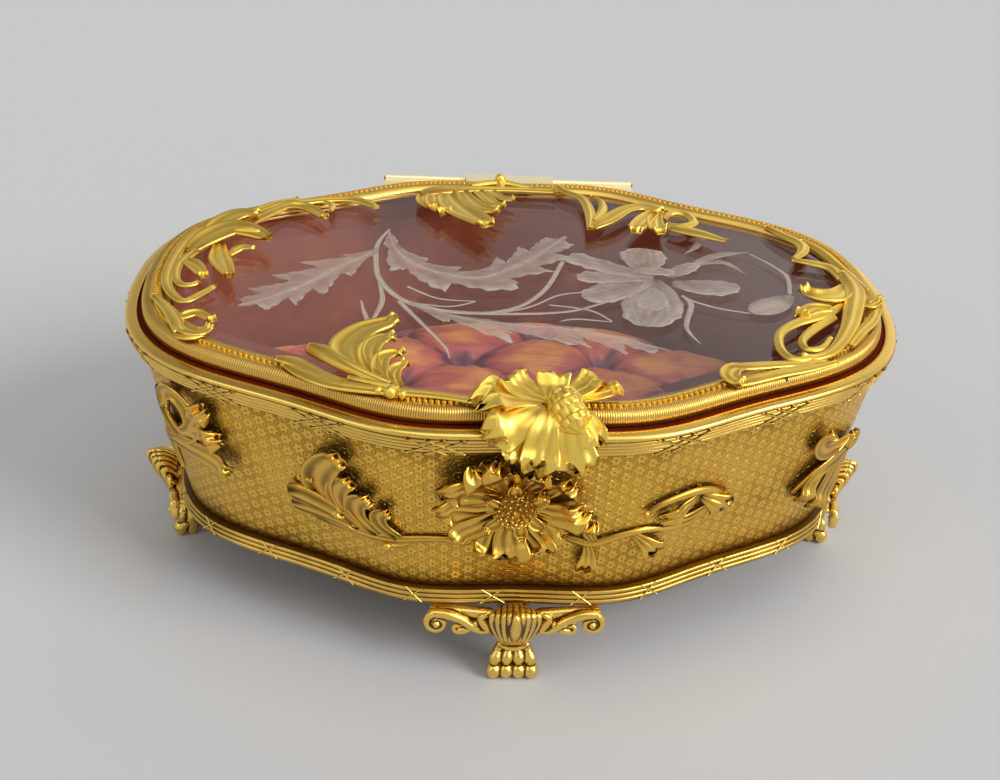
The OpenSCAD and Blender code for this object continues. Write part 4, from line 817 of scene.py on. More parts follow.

# %% [markdown]
# The castings on the wall are duller: an olive film covers all but their edges, and their colours
# are set darker than the lid's as painted shade on the upright wall. The front and the back carry the
# same flower and sprays, and the two ends their corner scrolls. A station on a long wall is (x, z,
# height over the wall, half width).

# %% Flowers, sprays and corner scrolls on the wall
FLOWER = [
    ("petal", [(-5, 75, 0.6, 2.7), (-9, 81, 2, 5.1), (-13.6, 86, 4.6, 5.1), (-14.6, 88.4, 4.6, 3.7)], 2.2),
    ("petal", [(-3, 75, 0.6, 2.7), (-5, 82, 3, 4.6), (-8, 87.4, 4.8, 4.4), (-7.4, 90.4, 4.6, 3.2)], 2.2),
    ("petal", [(-4, 73.6, 0.8, 2.7), (-12, 77.4, 2, 4.6), (-19, 79.4, 3.6, 4.4), (-23.6, 77.6, 4, 3.4)], 2.2),
    ("petal", [(-4, 71, 0.6, 2.4), (-13, 70, 1.4, 3.9), (-20, 71.6, 3, 4.1), (-25, 69.6, 3.4, 2.7)], 2.2),
    ("petal", [(-4, 69.6, 0.9, 2.4), (-11, 64.4, 2.4, 4.1), (-17, 62.4, 3.6, 3.7), (-21, 59.2, 3.6, 2)], 2.2),
    ("petal", [(-3, 68.6, 0.6, 2.2), (-8, 60.6, 1.4, 3.2), (-10.4, 55, 3.2, 3.7), (-13.4, 52.6, 3.4, 2.3)], 2.1),
    ("petal", [(-2, 68, 0.8, 2.7), (-3.4, 60, 2.4, 4.6), (-2.4, 54, 4.4, 5.4), (-3.6, 50.4, 4.6, 4.1)], 2.2),
    ("petal", [(0, 68.4, 0.6, 2.4), (3, 61, 1.4, 3.4), (7.4, 56.6, 3.4, 3.7), (8, 53.2, 3.6, 2.6)], 2.1),
    ("petal", [(1, 69.4, 0.8, 2.4), (7, 65.6, 2.2, 3.4), (12, 61, 3, 3.4), (14.4, 60.4, 3, 2.3)], 2.1),
    ("petal", [(1, 71, 0.8, 2.9), (8, 69.4, 2.2, 4.6), (15, 70.6, 4, 4.9), (18.8, 72.4, 4.2, 3.7)], 2.2),
    ("petal", [(1, 73, 0.6, 2.7), (8.4, 76, 1.4, 3.7), (13.4, 80, 3, 3.7), (15.4, 81.8, 3, 2.4)], 2.1),
    ("petal", [(-1, 74.4, 0.6, 2.4), (1.6, 80.4, 1.6, 3.4), (4.6, 84.6, 3.2, 3.4), (5, 87.4, 3.2, 2.4)], 2.1),
    ("plume", [(-4, 71, 3, 1.2), (-8, 73.6, 4.4, 1.9), (-11, 76.4, 4.4, 0.6)], 1.6),
    ("plume", [(-4, 69, 3, 1.2), (-8, 66, 4.4, 1.9), (-11, 63.4, 4.2, 0.6)], 1.6),
    ("plume", [(-1, 67.6, 3, 1.2), (0, 63, 4.6, 1.9), (0.6, 59.4, 4.4, 0.6)], 1.6),
    ("plume", [(1, 69.4, 3, 1.3), (4.6, 66, 4.4, 2), (7.6, 64, 4.2, 0.6)], 1.6),
    ("plume", [(1, 73, 3, 1.4), (5, 75.4, 4.6, 2.2), (6.6, 79, 4.4, 1.2)], 1.8),
    ("plume", [(-2, 75, 3, 1.2), (-2.6, 79, 4.4, 1.9), (-2.2, 82.6, 4.2, 0.6)], 1.6),
]
SPRAY_LEFT = [
    ("reed", [(-71, 62, 1.0, 2.6), (-66, 62.6, 1.8, 3.8), (-59, 60.6, 1.8, 3.4), (-53, 58, 1, 2)], 2.8),
    ("reed", [(-71, 56.4, 0.8, 2.2), (-65, 56.6, 1.2, 2.8), (-58, 55.4, 0.9, 2.2), (-50, 53.4, 0.6, 1.4)], 2.0),
    ("reed", [(-69, 55, 0.3, 1.2), (-60, 53.4, 0.5, 2), (-50, 52.4, 0.5, 2), (-40, 53, 0.5, 1.7), (-29, 55.4, 0.5, 1.4), (-17, 56, 0.6, 1)]),
    ("plume", [(-52, 54, 0.4, 2.4), (-58.6, 62, 1, 4.2), (-60, 71, 1.8, 4.8), (-56, 79, 2.6, 4), (-50, 84.6, 3, 2.2)], 1.8),
    ("plume", [(-49, 54, 0.5, 2), (-54.6, 63, 1.3, 3), (-53.6, 70.6, 2, 3.2), (-48.4, 75.6, 2.4, 1.6)], 1.8),
    ("plume", [(-57, 56, 0.3, 1.6), (-62.6, 64, 0.7, 2.4), (-64, 71.6, 1, 2)], 1.5),
    ("plume", [(-43, 54, 0.4, 2.2), (-48.6, 60, 1, 3.2), (-48.4, 66.6, 1.8, 3), (-43.4, 70.6, 2.3, 1.6)], 1.8),
    ("plume", [(-36, 54, 0.4, 1.8), (-41.6, 58.6, 0.9, 2.5), (-42, 63.6, 1.5, 2.3), (-38.4, 66.4, 1.8, 1.2)], 1.7),
    ("stem", [(-31, 55, 0.3, 0.7), (-36, 51.4, 0.5, 0.8), (-40.4, 50, 0.6, 0.9)], 1.2),
    ("stem", [(-24, 56, 0.5, 0.8), (-17, 54.4, 0.6, 1.2), (-12, 58.4, 0.6, 0.8)], 1.3),
]
SPRAY_RIGHT = [
    ("stem", [(12, 58.6, 0.5, 0.9), (17, 56.4, 0.6, 1.6), (23, 54.8, 0.6, 1.7), (31, 57.6, 0.5, 1.4), (39, 58.8, 0.5, 1.3), (47, 57, 0.5, 1.3), (54, 57, 0.6, 1.5), (60, 61.6, 0.8, 1.4)]),
    ("petal", [(20.6, 56, 0.5, 1.2), (21.8, 50.6, 1.2, 2.2), (20.6, 43.6, 1.6, 3.6)], 1.7),
    ("petal", [(24, 54.6, 0.5, 1.2), (21.4, 60, 1.3, 2.0), (22.4, 64.6, 1.6, 2.4)], 1.6),
    ("petal", [(34, 59.2, 0.5, 1.2), (39.4, 54, 1, 2.4), (44.6, 48.4, 1.6, 4.4)], 1.8),
    ("stem", [(38, 66.6, 0.8, 0.9), (43, 69.2, 0.8, 1.4), (52, 70.6, 1, 1.6), (59, 68.8, 1.2, 1.5), (64, 64.4, 1.4, 1.0)]),
    ("petal", [(55.4, 68.2, 1, 1.4), (60.4, 64.4, 1.4, 3.2), (65.6, 60.2, 2, 5.2)], 1.9),
    ("petal", [(55, 68.8, 0.8, 1.2), (49.6, 65.4, 1.2, 2.6), (43.6, 63.2, 1.6, 3.6)], 1.8),
    ("reed", [(44, 59.6, 0.6, 1.1), (53, 59.2, 0.9, 1.7), (60.4, 63, 1.2, 1.3)]),
]
LEFT_END = [
    ("plume", [(41.4, 85, 0.2, 1.4), (42, 79.4, 0.6, 2.2), (45, 73, 1.1, 2.6), (52, 70.4, 1.6, 2.8), (58.6, 76, 1.9, 2.8), (58.2, 84, 1.9, 2.6), (52, 87.6, 1.8, 2.3), (47, 83.6, 1.6, 2), (48.4, 79, 1.6, 1.5)], 1.9),
    ("petal", [(54, 73, 0.8, 2.2), (60, 79.6, 1.8, 3.6), (66, 86.4, 2.6, 3.2)], 2),
    ("petal", [(53, 70.6, 0.8, 2.6), (61, 73.4, 1.8, 4.2), (69, 75, 2.6, 3.4)], 2),
    ("petal", [(36, 62, 0.4, 2), (45, 65, 1, 3.4), (54, 66, 1.5, 4.2), (63.4, 66, 2, 4), (71, 62.6, 2.4, 2.4)], 2),
    ("reed", [(45, 73, 0.8, 2), (37, 64.4, 0.9, 2.2), (34.6, 56, 0.4, 1.8), (36.4, 47.4, 0.3, 0.8)]),
]
RIGHT_END = [
    ("plume", [(69, 55, 1.2, 1.8), (62, 61.6, 1.7, 2.6), (54, 65, 1.8, 2.8), (46, 68.4, 1.5, 2.6), (42.6, 71.2, 0.8, 1.5)], 1.8),
    ("plume", [(43, 68.2, 1, 2.2), (51, 71.6, 1.5, 2.8), (60, 71.8, 1.9, 2.8), (63.8, 76, 2.1, 2.4), (60, 80, 2, 1.9)], 1.9),
    ("petal", [(52, 66.4, 0.8, 2.4), (60, 60, 1.5, 3.8), (64, 51, 1.8, 3.2)], 1.9),
    ("petal", [(47.6, 68.2, 0.8, 2.6), (50.6, 56, 1.5, 4.4), (55.6, 44.6, 1.8, 3.6)], 1.9),
    ("petal", [(43.6, 70.4, 0.8, 2.2), (42, 58, 1.1, 3.6), (43, 47.6, 1.2, 3.6), (45, 39.6, 1.1, 2.2)], 1.8),
    ("stem", [(40, 72, 1.4, 2.2), (41.4, 68, 1.6, 2.4), (44, 65.4, 1.6, 1.6)], 2.2),
]


def mirrored(strips):
    """The same strips with their first coordinate reversed, for the other corner of an end."""
    return [(style, [(-a, *more) for a, *more in stations], *rest) for style, stations, *rest in strips]


def seed_cup(side, x, z):
    """The flower's middle: a domed cup of stamens. A ball flattened towards the wall, a ring of
    fine hairs as a ruffled collar, and rows of small grains over the dome."""
    base, tip = (on_wall(side, np.array([x]), np.array([z]), np.array([k]))[0] for k in (1.2, 6.6))
    up = (tip - base) / np.linalg.norm(tip - base)
    flat = np.cross(up, [0.0, 0.0, 1.0])
    flat /= np.linalg.norm(flat)
    turn = np.stack([flat, np.cross(up, flat), up], -1)
    collar = ball(base, (9.4, 9.4, 2.2), turn, rings=10, sides=72, bumps=lambda t, p: 1 + 0.1 * np.abs(np.sin(18 * p)) * np.sin(t) ** 4, marks=lambda t, p: 0.15 + 0.6 * np.abs(np.sin(18 * p)) * np.sin(t))
    cup = ball(base + up * 1.0, (7.0, 7.0, 5.0), turn, rings=14, sides=40, bumps=lambda t, p: 1 + 0.05 * np.cos(8 * p) * np.sin(t), marks=lambda t, p: 0.3 + 0 * p)
    k = np.arange(96)
    t = np.arccos(1 - 0.92 * (k + 0.5) / 96)
    p = k * np.pi * (3 - math.sqrt(5))
    ways = (np.stack([np.sin(t) * np.cos(p), np.sin(t) * np.sin(p), np.cos(t)], -1)) @ turn.T
    centres = base + up * 1.0 + ways * 6.9 - up * (ways @ up)[:, None] * 2.0
    outs = np.cross(ways, [0.31, 0.52, 0.8])
    outs /= np.linalg.norm(outs, axis=1, keepdims=True)
    gp, gq, gt, gm = domes(centres, ways, outs, 0.82, rings=4, sides=7)
    return [collar, cup, {"p": gp, "q": gq, "t": gt, "m": gm, "uv": None}]


for side in ("front", "back"):
    casting(side + "_flower_petals", side, FLOWER, "casket", "gilt_wall_mount", gilt_worn_and_shaded, (side + "_flower",))
    make_piece(side + "_stamens", merged(seed_cup(side, -2, 71.5)), "casket", gilt_worn_and_shaded, stands_for=(side + "_seed_head",))
    casting(side + "_spray_left", side, SPRAY_LEFT, "casket", "gilt_wall_mount", gilt_worn_and_shaded, (side + "_sprig_left",), [bead(side, -41, 50, 1.3, 1.6)], wide=1.06, groove=0.34, ruffle=0.26)
    casting(side + "_spray_right", side, SPRAY_RIGHT, "casket", "gilt_wall_mount", gilt_worn_and_shaded, (side + "_sprig_right",), [bead(side, 38, 66.6, 1.4, 1.1)], groove=0.3)
for side, strips in (("left", LEFT_END), ("right", RIGHT_END)):
    casting(side + "_corner_scrolls", side, strips + mirrored(strips), "casket", "gilt_wall_mount", gilt_worn_and_shaded, (side + "_corner_mounts",), ruffle=0.3, groove=0.32)

# %% [markdown]
# The lid holds a pane of plate glass whose edge is ground to a wide bevel. In Blender clear glass
# is a Principled shader with full transmission. Light has to reach the silk below it without
# being worked out as caustics, so for shadow rays the glass is simply transparent.

# %% The bevelled pane and the strip under it
def turned_plate(rows, stations=360):
    """A plate bounded by rings of (inset, z), from the middle of its underside round its edge to
    the middle of its top, each end closed by a fan of triangles."""
    rows = np.asarray(rows, float)
    a = at_length(np.arange(stations) * GIRTH / stations)
    points = inset(a[None], rows[:, :1], rows[:, 1:])
    quads, _ = grid(len(rows), stations, False, True)
    j = np.arange(stations)
    n = len(rows) * stations
    tris = np.concatenate([np.stack([np.full(stations, n), j, (j + 1) % stations], -1),
                           np.stack([np.full(stations, n + 1), n - stations + (j + 1) % stations, n - stations + j], -1)])
    middle = [[0, 0, rows[0, 1]], [0, 0, rows[-1, 1]]]
    return shell(np.concatenate([points.reshape(-1, 3), middle]), quads, tris)


def clear_glass(name, tint, ior=1.5):
    """Glass for the camera, plain transparency for shadow rays."""
    mat, tree, shader, out = new_material(name, Base_Color=tint, Roughness=0.0, IOR=ior, Transmission_Weight=1.0)
    path = put(tree, "ShaderNodeLightPath").outputs["Is Shadow Ray"]
    through = put(tree, "ShaderNodeBsdfTransparent", {"Color": tint})
    both = put(tree, "ShaderNodeMixShader", {0: path, 1: shader.outputs[0], 2: through.outputs[0]})
    tree.links.new(both.outputs[0], out.inputs["Surface"])
    return mat


pane_glass = clear_glass("bevelled plate glass", (0.985, 0.975, 0.955, 1), 1.3)
pane = turned_plate([[11, 101.2], [11, 102.9], [14.8, 102.9], [14.8, 103.62], [18.8, 104.3]])
glass_top = make_piece("bevelled_pane", pane, "lid", pane_glass, stands_for=("glass_pane",))
glass_top.data.set_sharp_from_angle(angle=math.radians(7))
holder = sweep(rounded([[15.6, 100.4], [11, 100.4], [11, 101.2], [15.6, 101.2]], 0.25, 3), 360)
make_piece("pane_holding_strip", holder, "lid", gilt_milled, stands_for=("glass_strip",))

# %% [markdown]
# The pane is engraved with a loose spray: a ruffled flower, a bud, long serrated leaves and thin
# stems. An engraver cuts these with a wheel, which leaves matte, whitish hollows. Here each is a
# thin flat piece on the pane, partly see-through, hatched across by the wheel's strokes.

# %% The engraving's finish
engraved, tree, shader, _ = new_material("matte wheel engraving", Roughness=0.75, Base_Color=(0.6, 0.52, 0.44, 1))
uv = put(tree, "ShaderNodeUVMap", uv_map="UVMap").outputs[0]
axes = put(tree, "ShaderNodeSeparateXYZ", {0: uv}).outputs
strokes = calc(tree, "ABSOLUTE", calc(tree, "SINE", calc(tree, "ADD", calc(tree, "MULTIPLY", axes[0], 5.2), calc(tree, "MULTIPLY", axes[1], 3.0))))
cut_noise = put(tree, "ShaderNodeTexNoise", {"Vector": put(tree, "ShaderNodeTexCoord").outputs["Object"], "Scale": 320.0, "Detail": 3.0}).outputs[0]
depth_mark = put(tree, "ShaderNodeAttribute", attribute_name="surface_mark").outputs["Fac"]
veil = calc(tree, "ADD", calc(tree, "MULTIPLY", strokes, 0.12), calc(tree, "MULTIPLY", calc(tree, "SUBTRACT", cut_noise, 0.5), 0.3))
tree.links.new(calc(tree, "ADD", veil, calc(tree, "MULTIPLY", depth_mark, 0.54), clamp=True), shader.inputs["Alpha"])


# %% The engraved spray
def cut_leaf(stations, teeth=0, bite=0.5, lean=0.9, strong=0.85, weak=0.4, n=70, m=13, layer=0, ruffle=0.0):
    """A flat leaf on the pane through stations of (x, y, width to the left, width to the right).
    Each edge is cut into teeth: along one tooth the width grows from 1 - bite to 1, then falls
    back with a finer row of teeth on it, and the edge is drawn forward by lean, which makes the tips
    point along the leaf. ruffle, in millimetres, waves the edges and the far end of a petal. The veil
    is strong at the edges and on a leaf's midrib, weaker between, crossed by rays, and stronger
    on the side towards the front and, on a petal, towards its end."""
    rows, length = along(stations, n)
    d = np.gradient(rows[:, :2], axis=0)
    d /= np.linalg.norm(d, axis=1, keepdims=True)
    side_way = np.stack([-d[:, 1], d[:, 0]], -1)
    u = np.linspace(0, 1, n)[:, None]
    v = np.linspace(-1, 1, m)[None]
    own = rows[0, 0] * 0.7
    part = (u * teeth + 0.2 * (v > 0) + 0.16 * np.sin(8 * u + own + 2 * (v > 0))) % 1
    saw = 1 - bite + bite * np.minimum(part / 0.72, (1 - part) / 0.28) - 0.16 * ((u * teeth * 4) % 1) if teeth > 4 else 1.0
    w = np.maximum(np.where(v > 0, rows[:, 2:3], rows[:, 3:4]), 0.05)
    frill = ruffle * u * (np.sin(25 * u + own + 2 * np.sign(v)) + 0.6 * np.sin(43 * u + 2 * own)) * np.minimum(1, w / 4)
    reach = v * w * (1 - (1 - saw) * np.abs(v)) + v * np.abs(v) ** 3 * frill
    scallop = ruffle * u**2 * np.cos(8.5 * v + own) * np.minimum(1, w / 4)
    xy = rows[:, None, :2] + side_way[:, None] * reach[..., None] + d[:, None] * (lean * np.abs(reach) * np.abs(v) + scallop)[..., None]
    top = np.concatenate([xy, np.full((n, m, 1), 104.36 + 0.012 * layer)], -1)
    low = top[:, ::-1] - [0, 0, 0.008]
    loop = np.concatenate([top, low], 1)
    quads, ij = grid(n, 2 * m, False, True)
    k = np.arange(m - 1)
    end = np.stack([k, k + 1, 2 * m - 2 - k, 2 * m - 1 - k], -1)
    quads = np.concatenate([quads, end[:, ::-1], end + (n - 1) * 2 * m])
    rays = 0.16 * np.cos(teeth * 2 * np.pi * (u - 0.1 * np.abs(v))) * np.abs(v) if teeth > 4 else 0.1 * np.cos(17 * v + 1.5 * np.sin(7 * u + own))
    midrib = 0.0 if ruffle else np.exp(-((v / 0.1) ** 2))
    fade = weak + (strong - weak) * np.clip(midrib + 0.8 * np.abs(v) ** 2.5, 0, 1) + rays + 0 * u
    fade = fade * (1 - 0.4 * v * side_way[:, 1:])
    if ruffle:
        fade = fade * (0.45 + 1.15 * u**0.8 + 0.15 * np.sin(19 * u + 3 * v + own))
    mark = np.concatenate([fade, fade[:, ::-1]], 1)
    uv = np.concatenate([np.stack([ij[..., 0] * length / n, ij[..., 1] * 0.6], -1), np.zeros((2 * m - 2, 4, 2))])
    return shell(loop.reshape(-1, 3), quads, mark=mark, uv=uv)


leaves = [
    ([(-47, 24, 0.3, 0.3), (-51, 17, 4, 5.5), (-58.5, 8.4, 9, 13), (-68.7, -5, 10.5, 13.5), (-79.8, -16.4, 8, 9), (-90, -23, 0.2, 0.2)], 5.2, 0.6, 0.7),
    ([(-44.6, 37, 0.3, 0.3), (-42, 24, 4.2, 6), (-37, 14, 7.5, 11.5), (-27, 5, 9, 12.5), (-12.5, 1.5, 10.5, 12.5), (2.1, 13, 11, 12), (11, 25, 8, 9), (19, 37, 0.2, 0.2)], 7.2, 0.55, 0.7),
    ([(-37, -17, 0.3, 0.5), (-25.6, -24, 0.8, 6.5), (-12.8, -29, 1.6, 12), (3, -31.6, 2.2, 13), (15, -33, 2.6, 12), (29.5, -38, 2.2, 9), (47, -46, 0.1, 0.2)], 5.2, 0.62, 1.2),
    ([(60, 13, 0.2, 0.2), (66, 20, 1.6, 1.6), (74, 25, 1.8, 1.8), (84, 27.4, 0.1, 0.1)], 0, 0, 0.0),
    ([(63, 15, 0.2, 0.2), (69, 18.6, 1.4, 1.6), (75, 17.4, 1.2, 1.4), (79.4, 9.8, 0.1, 0.1)], 0, 0, 0.0),
    ([(60, 24, 0.1, 0.1), (66, 32, 1.2, 1.2), (70, 42, 0.1, 0.1)], 0, 0, 0.0),
]
petals = [
    [(47, 5, 1.5, 1.5), (38, 9, 4, 3.5), (28, 15, 5.5, 4), (20, 19, 4, 4.5), (18.4, 20, 1, 1)],
    [(47, 4, 1.5, 1.5), (36, 4.4, 3.5, 4), (26, 4, 4.5, 4.5), (20.6, 3.6, 2, 2)],
    [(46, 2, 2, 2), (38, -2.6, 5, 5), (30, -7.4, 6.5, 6.5), (23.6, -10.6, 4.5, 4), (21.6, -11.6, 1, 1)],
    [(53, 1, 2, 2), (60, -0.6, 4.5, 5.5), (68, -1.4, 5.5, 6), (74, -1, 3.5, 3.5), (76, -1, 0.8, 0.8)],
    [(45, 8, 2, 2), (44.6, 14, 6, 6.5), (45.2, 21, 8.5, 8), (45.6, 26, 6, 6), (45.8, 28, 1, 1)],
    [(52, 6, 1.5, 1.5), (57, 11, 3.4, 3.6), (62, 15, 2.6, 2.6), (64, 16.6, 0.6, 0.6)],
    [(47, 3, 2.5, 2.5), (46.4, -6, 7.5, 7.5), (44.4, -15, 10.5, 10), (42.2, -23.4, 9, 8.5), (40.8, -29, 5, 5), (40.4, -30.6, 1, 1)],
    [(46, -3, 1, 1), (45.4, -9, 4.5, 4.5), (44, -15, 5.5, 5.5), (43, -19, 2, 2)],
    [(40, 8, 0.5, 0.5), (45, 10, 3, 3), (52, 9, 3, 2.4), (55, 8, 0.5, 0.5)],
]
stems = [
    [(-44.3, 38.5, 0.4), (-47.9, 26.5, 0.8), (-47.9, 12.1, 0.9), (-45.8, -2.2, 1), (-38.4, -15.5, 1.1), (-26.4, -22.6, 1.1), (-6, -24.2, 0.9), (14.9, -21.8, 0.7), (26.8, -15.5, 0.6), (33, -11, 0.4)],
    [(-36.8, -16.9, 0.8), (-19.6, -24.3, 0.8), (-2.3, -20.5, 0.8), (8.7, -6.9, 0.9), (16.5, 16.2, 0.8)],
    [(-6.3, -23.6, 0.5), (3.6, -18.9, 0.5), (13.3, -10.2, 0.5), (22, -7.4, 0.4)],
    [(-36.5, -6.4, 0.6), (-26.5, -14.4, 0.5), (-14.1, -15.9, 0.35)],
    [(-14.1, -16.2, 0.35), (-23.1, -20.1, 0.5), (-36, -17.6, 0.4)],
    [(-39, -17, 0.9), (-31.6, -31.4, 0.7), (-24.1, -46.2, 0.5), (-22.2, -54.1, 0.2)],
    [(-46.1, -3.7, 0.5), (-44.4, -17.6, 0.9), (-47.4, -33, 0.5)],
    [(-47.6, -33.4, 0.9), (-49.8, -25, 0.7), (-51.2, -17.2, 0.2)],
    [(12.9, -28.4, 0.25), (18.5, -26.6, 0.6), (29.6, -28, 0.3)],
    [(29.8, -27.6, 0.4), (23.2, -20.3, 0.5), (9.9, -17.1, 0.4)],
    [(55.1, -7.9, 0.6), (57.3, -14.5, 1), (53.7, -30.4, 0.8), (56.7, -41.1, 0.2)],
    [(56.5, -10.6, 0.7), (65.8, -16.4, 0.6), (76.5, -19.6, 0.5)],
    [(76.7, -18.8, 1.5), (80, -16.6, 4.6), (85, -13.2, 5.4), (90, -9, 3.4), (92.6, -5.6, 0.8)],
    [(92.4, -5, 0.8), (94.1, 8.4, 0.8), (90.5, 17, 0.6), (84, 26, 0.3)],
]
engraving = [cut_leaf(one, teeth, bite, lean, 0.6, 0.2, 150, layer=k % 2) for k, (one, teeth, bite, lean) in enumerate(leaves)]
engraving += [cut_leaf(one, 3.5, 0.1, 0.1, 0.66, 0.24, 110, layer=2 + k, ruffle=0.5) for k, one in enumerate(petals)]
engraving += [cut_leaf([(x, y, w, w) for x, y, w in one], 0, 0, 0.0, 0.75, 0.6, 60, 5, layer=k % 3) for k, one in enumerate(stems)]
make_piece("pane_engraving", merged(engraving), "lid", engraved)

# %% [markdown]
# The pad is a deep-buttoned cushion in shot silk, woven of threads of two colours. The gold on its
# crowns is a painted sheen and the purple-grey of its folds a painted shade. An upholsterer stuffs it
# and then sews it down through the board at the corners of a diamond pattern. Here a slightly slack
# pad is blown up by cloth simulation, and the tufts and the folds between them are sewn in afterwards.

# %% The slack pad before it is filled
def pad_inset(z):
    """Inset of the pad's side at height z: drawn in at the board and at the crown."""
    return np.interp(z, [37.3, 41.3, 46.0, 50.6], [22.2, 20.2, 20.0, 21.4])


def slack_pad():
    """Rings up the side, then rings shrinking to the middle on a low crown. s runs from 0 in the
    middle to 1 at the edge; crown height = 50.5 + 4.5 * (1 - s to the fifth), and the left end
    is stuffed 4.5 mm fuller."""
    side_z = np.linspace(37.6, 50.5, 8)
    s = np.linspace(1, 0.04, 26)[1:]
    a = np.linspace(0, 2 * np.pi, 200, endpoint=False)
    side = inset(a[None], pad_inset(side_z)[:, None], side_z[:, None])
    crown_edge = inset(a, 21.4, 50.5)
    top = crown_edge[None] * np.stack([s, s, np.ones_like(s)], -1)[:, None]
    top[..., 2] = (50.5 + 4.5 * (1 - s**5))[:, None]
    top[..., 2] += 4.5 * np.clip((-top[..., 0] - 58) / 26, 0, 1)
    low = side[:1] * np.stack([s[::-1], s[::-1], np.ones_like(s)], -1)[:, None]
    rings = np.concatenate([low, side, top])
    n = len(rings)
    quads, _ = grid(n, 200, False, True)
    j = np.arange(200)
    tris = np.concatenate([np.stack([np.full(200, n * 200), j, (j + 1) % 200], -1),
                           np.stack([np.full(200, n * 200 + 1), (n - 1) * 200 + (j + 1) % 200, (n - 1) * 200 + j], -1)])
    ends = [[0, 0, 37.6], [0, 0, 55.0]]
    return shell(np.concatenate([rings.reshape(-1, 3), ends]), quads, tris)


def vertices_of(mesh):
    """A mesh's points as an array in millimetres."""
    flat = np.empty(len(mesh.vertices) * 3, np.float32)
    mesh.vertices.foreach_get("co", flat)
    return flat.reshape(-1, 3).astype(float) / MM


def apply_modifiers(obj):
    """Puts what the modifiers show into the mesh itself, and takes them off."""
    shown = bpy.data.meshes.new_from_object(obj.evaluated_get(bpy.context.evaluated_depsgraph_get()))
    old = obj.data
    obj.modifiers.clear()
    obj.data = shown
    shown.name = obj.name
    bpy.data.meshes.remove(old)


# %% Filling it by simulation
silk = new_material("shot silk", Roughness=0.42, Sheen_Weight=0.35, Sheen_Roughness=0.35, Sheen_Tint=(1.0, 0.55, 0.25, 1), Anisotropic=0.4)
pad = make_piece("buttoned_silk_pad", slack_pad(), "casket", silk[0], stands_for=("cushion",))
remesh = pad.modifiers.new("even mesh", "REMESH")
remesh.mode = "VOXEL"
remesh.voxel_size = 0.0045
apply_modifiers(pad)
before = vertices_of(pad.data)
cloth = pad.modifiers.new("filling", "CLOTH")
cloth.settings.use_pressure = True
cloth.settings.uniform_pressure_force = 4.0
cloth.settings.effector_weights.gravity = 0.0
cloth.settings.quality = 5
cloth.point_cache.frame_end = 20
for number in range(1, 21):
    scene.frame_set(number)
apply_modifiers(pad)
scene.frame_set(1)
after = vertices_of(pad.data)
moved = after - before
far = np.linalg.norm(moved, axis=1, keepdims=True)
after = before + moved * np.minimum(1, 3.2 / np.maximum(far, 1e-6))
print("the filling moved points by up to", round(float(far.max()), 1), "mm, kept to 3.2 mm")

# %% Sewing the tufts and folds
after[:, 2] = np.clip(after[:, 2], 37.35, 61)
pad.data.vertices.foreach_set("co", (after * MM).astype(np.float32).ravel())
smoother = pad.modifiers.new("smooth", "SUBSURF")
smoother.levels = smoother.render_levels = 2
apply_modifiers(pad)
p = vertices_of(pad.data)
normals = np.empty(len(p) * 3, np.float32)
pad.data.vertices.foreach_get("normal", normals)
up = np.clip(normals.reshape(-1, 3)[:, 2].astype(float), 0, 1)
x, y = p[:, 0] + 16, p[:, 1] - 30
u, v = np.pi * (x / 53 + y / 40), np.pi * (x / 53 - y / 40)
wobble = 0.3 * np.sin(x / 9.3 + y / 17 + 1.3) + 0.28 * np.sin(y / 6.9 - x / 13)
u, v = u + 0.6 * wobble, v - 0.5 * np.sin(x / 11 + 0.7) * 0.3
fold = 1 - np.abs(np.sin(u) * np.sin(v)) ** 0.4
hollow = np.abs(np.cos(u) * np.cos(v)) ** 7
near_tuft = np.abs(np.cos(u) * np.cos(v)) ** 1.5
around = np.arctan2(np.sin(v), np.sin(u))
pleats = near_tuft * (1 - hollow) * (np.cos(7 * around + 5 * wobble) * 0.9 + 0.45 * np.cos(13 * around + 9 * wobble))
r_edge = np.hypot(p[:, 0], p[:, 1]) / np.linalg.norm(plan(np.arctan2(p[:, 1], p[:, 0] * HALF_W / HALF_L)), axis=-1)
inner = np.clip((0.82 - r_edge) * 14, 0, 1)
dip = (3.4 * fold + 5.6 * hollow + pleats) * up * (0.25 + 0.75 * inner)
gather = np.cos(np.arctan2(p[:, 1], p[:, 0]) * 64) * 0.25 * (1 - inner) * up
p[:, 2] -= dip + gather
p[:, 2] = np.clip(p[:, 2], 37.35, 61)
pad.data.vertices.foreach_set("co", (p * MM).astype(np.float32).ravel())
pad.data.update()
# The mask for the silk's colour is painted sheen and shade: high on the crowns and on faces turned up, low in the folds
# and the tufts' hollows, middling on the sides.
crown = np.clip(1.1 - 1.15 * fold - 0.6 * hollow + 0.3 * pleats, 0, 1) * up + 0.4 * (1 - up)
for name in [n.name for n in pad.data.attributes if n.name == "surface_mark"]:
    pad.data.attributes.remove(pad.data.attributes[name])
pad.data.attributes.new("surface_mark", "FLOAT", "POINT").data.foreach_set("value", crown.astype(np.float32))
pad.data.shade_smooth()
print("pad:", len(pad.data.polygons), "faces")
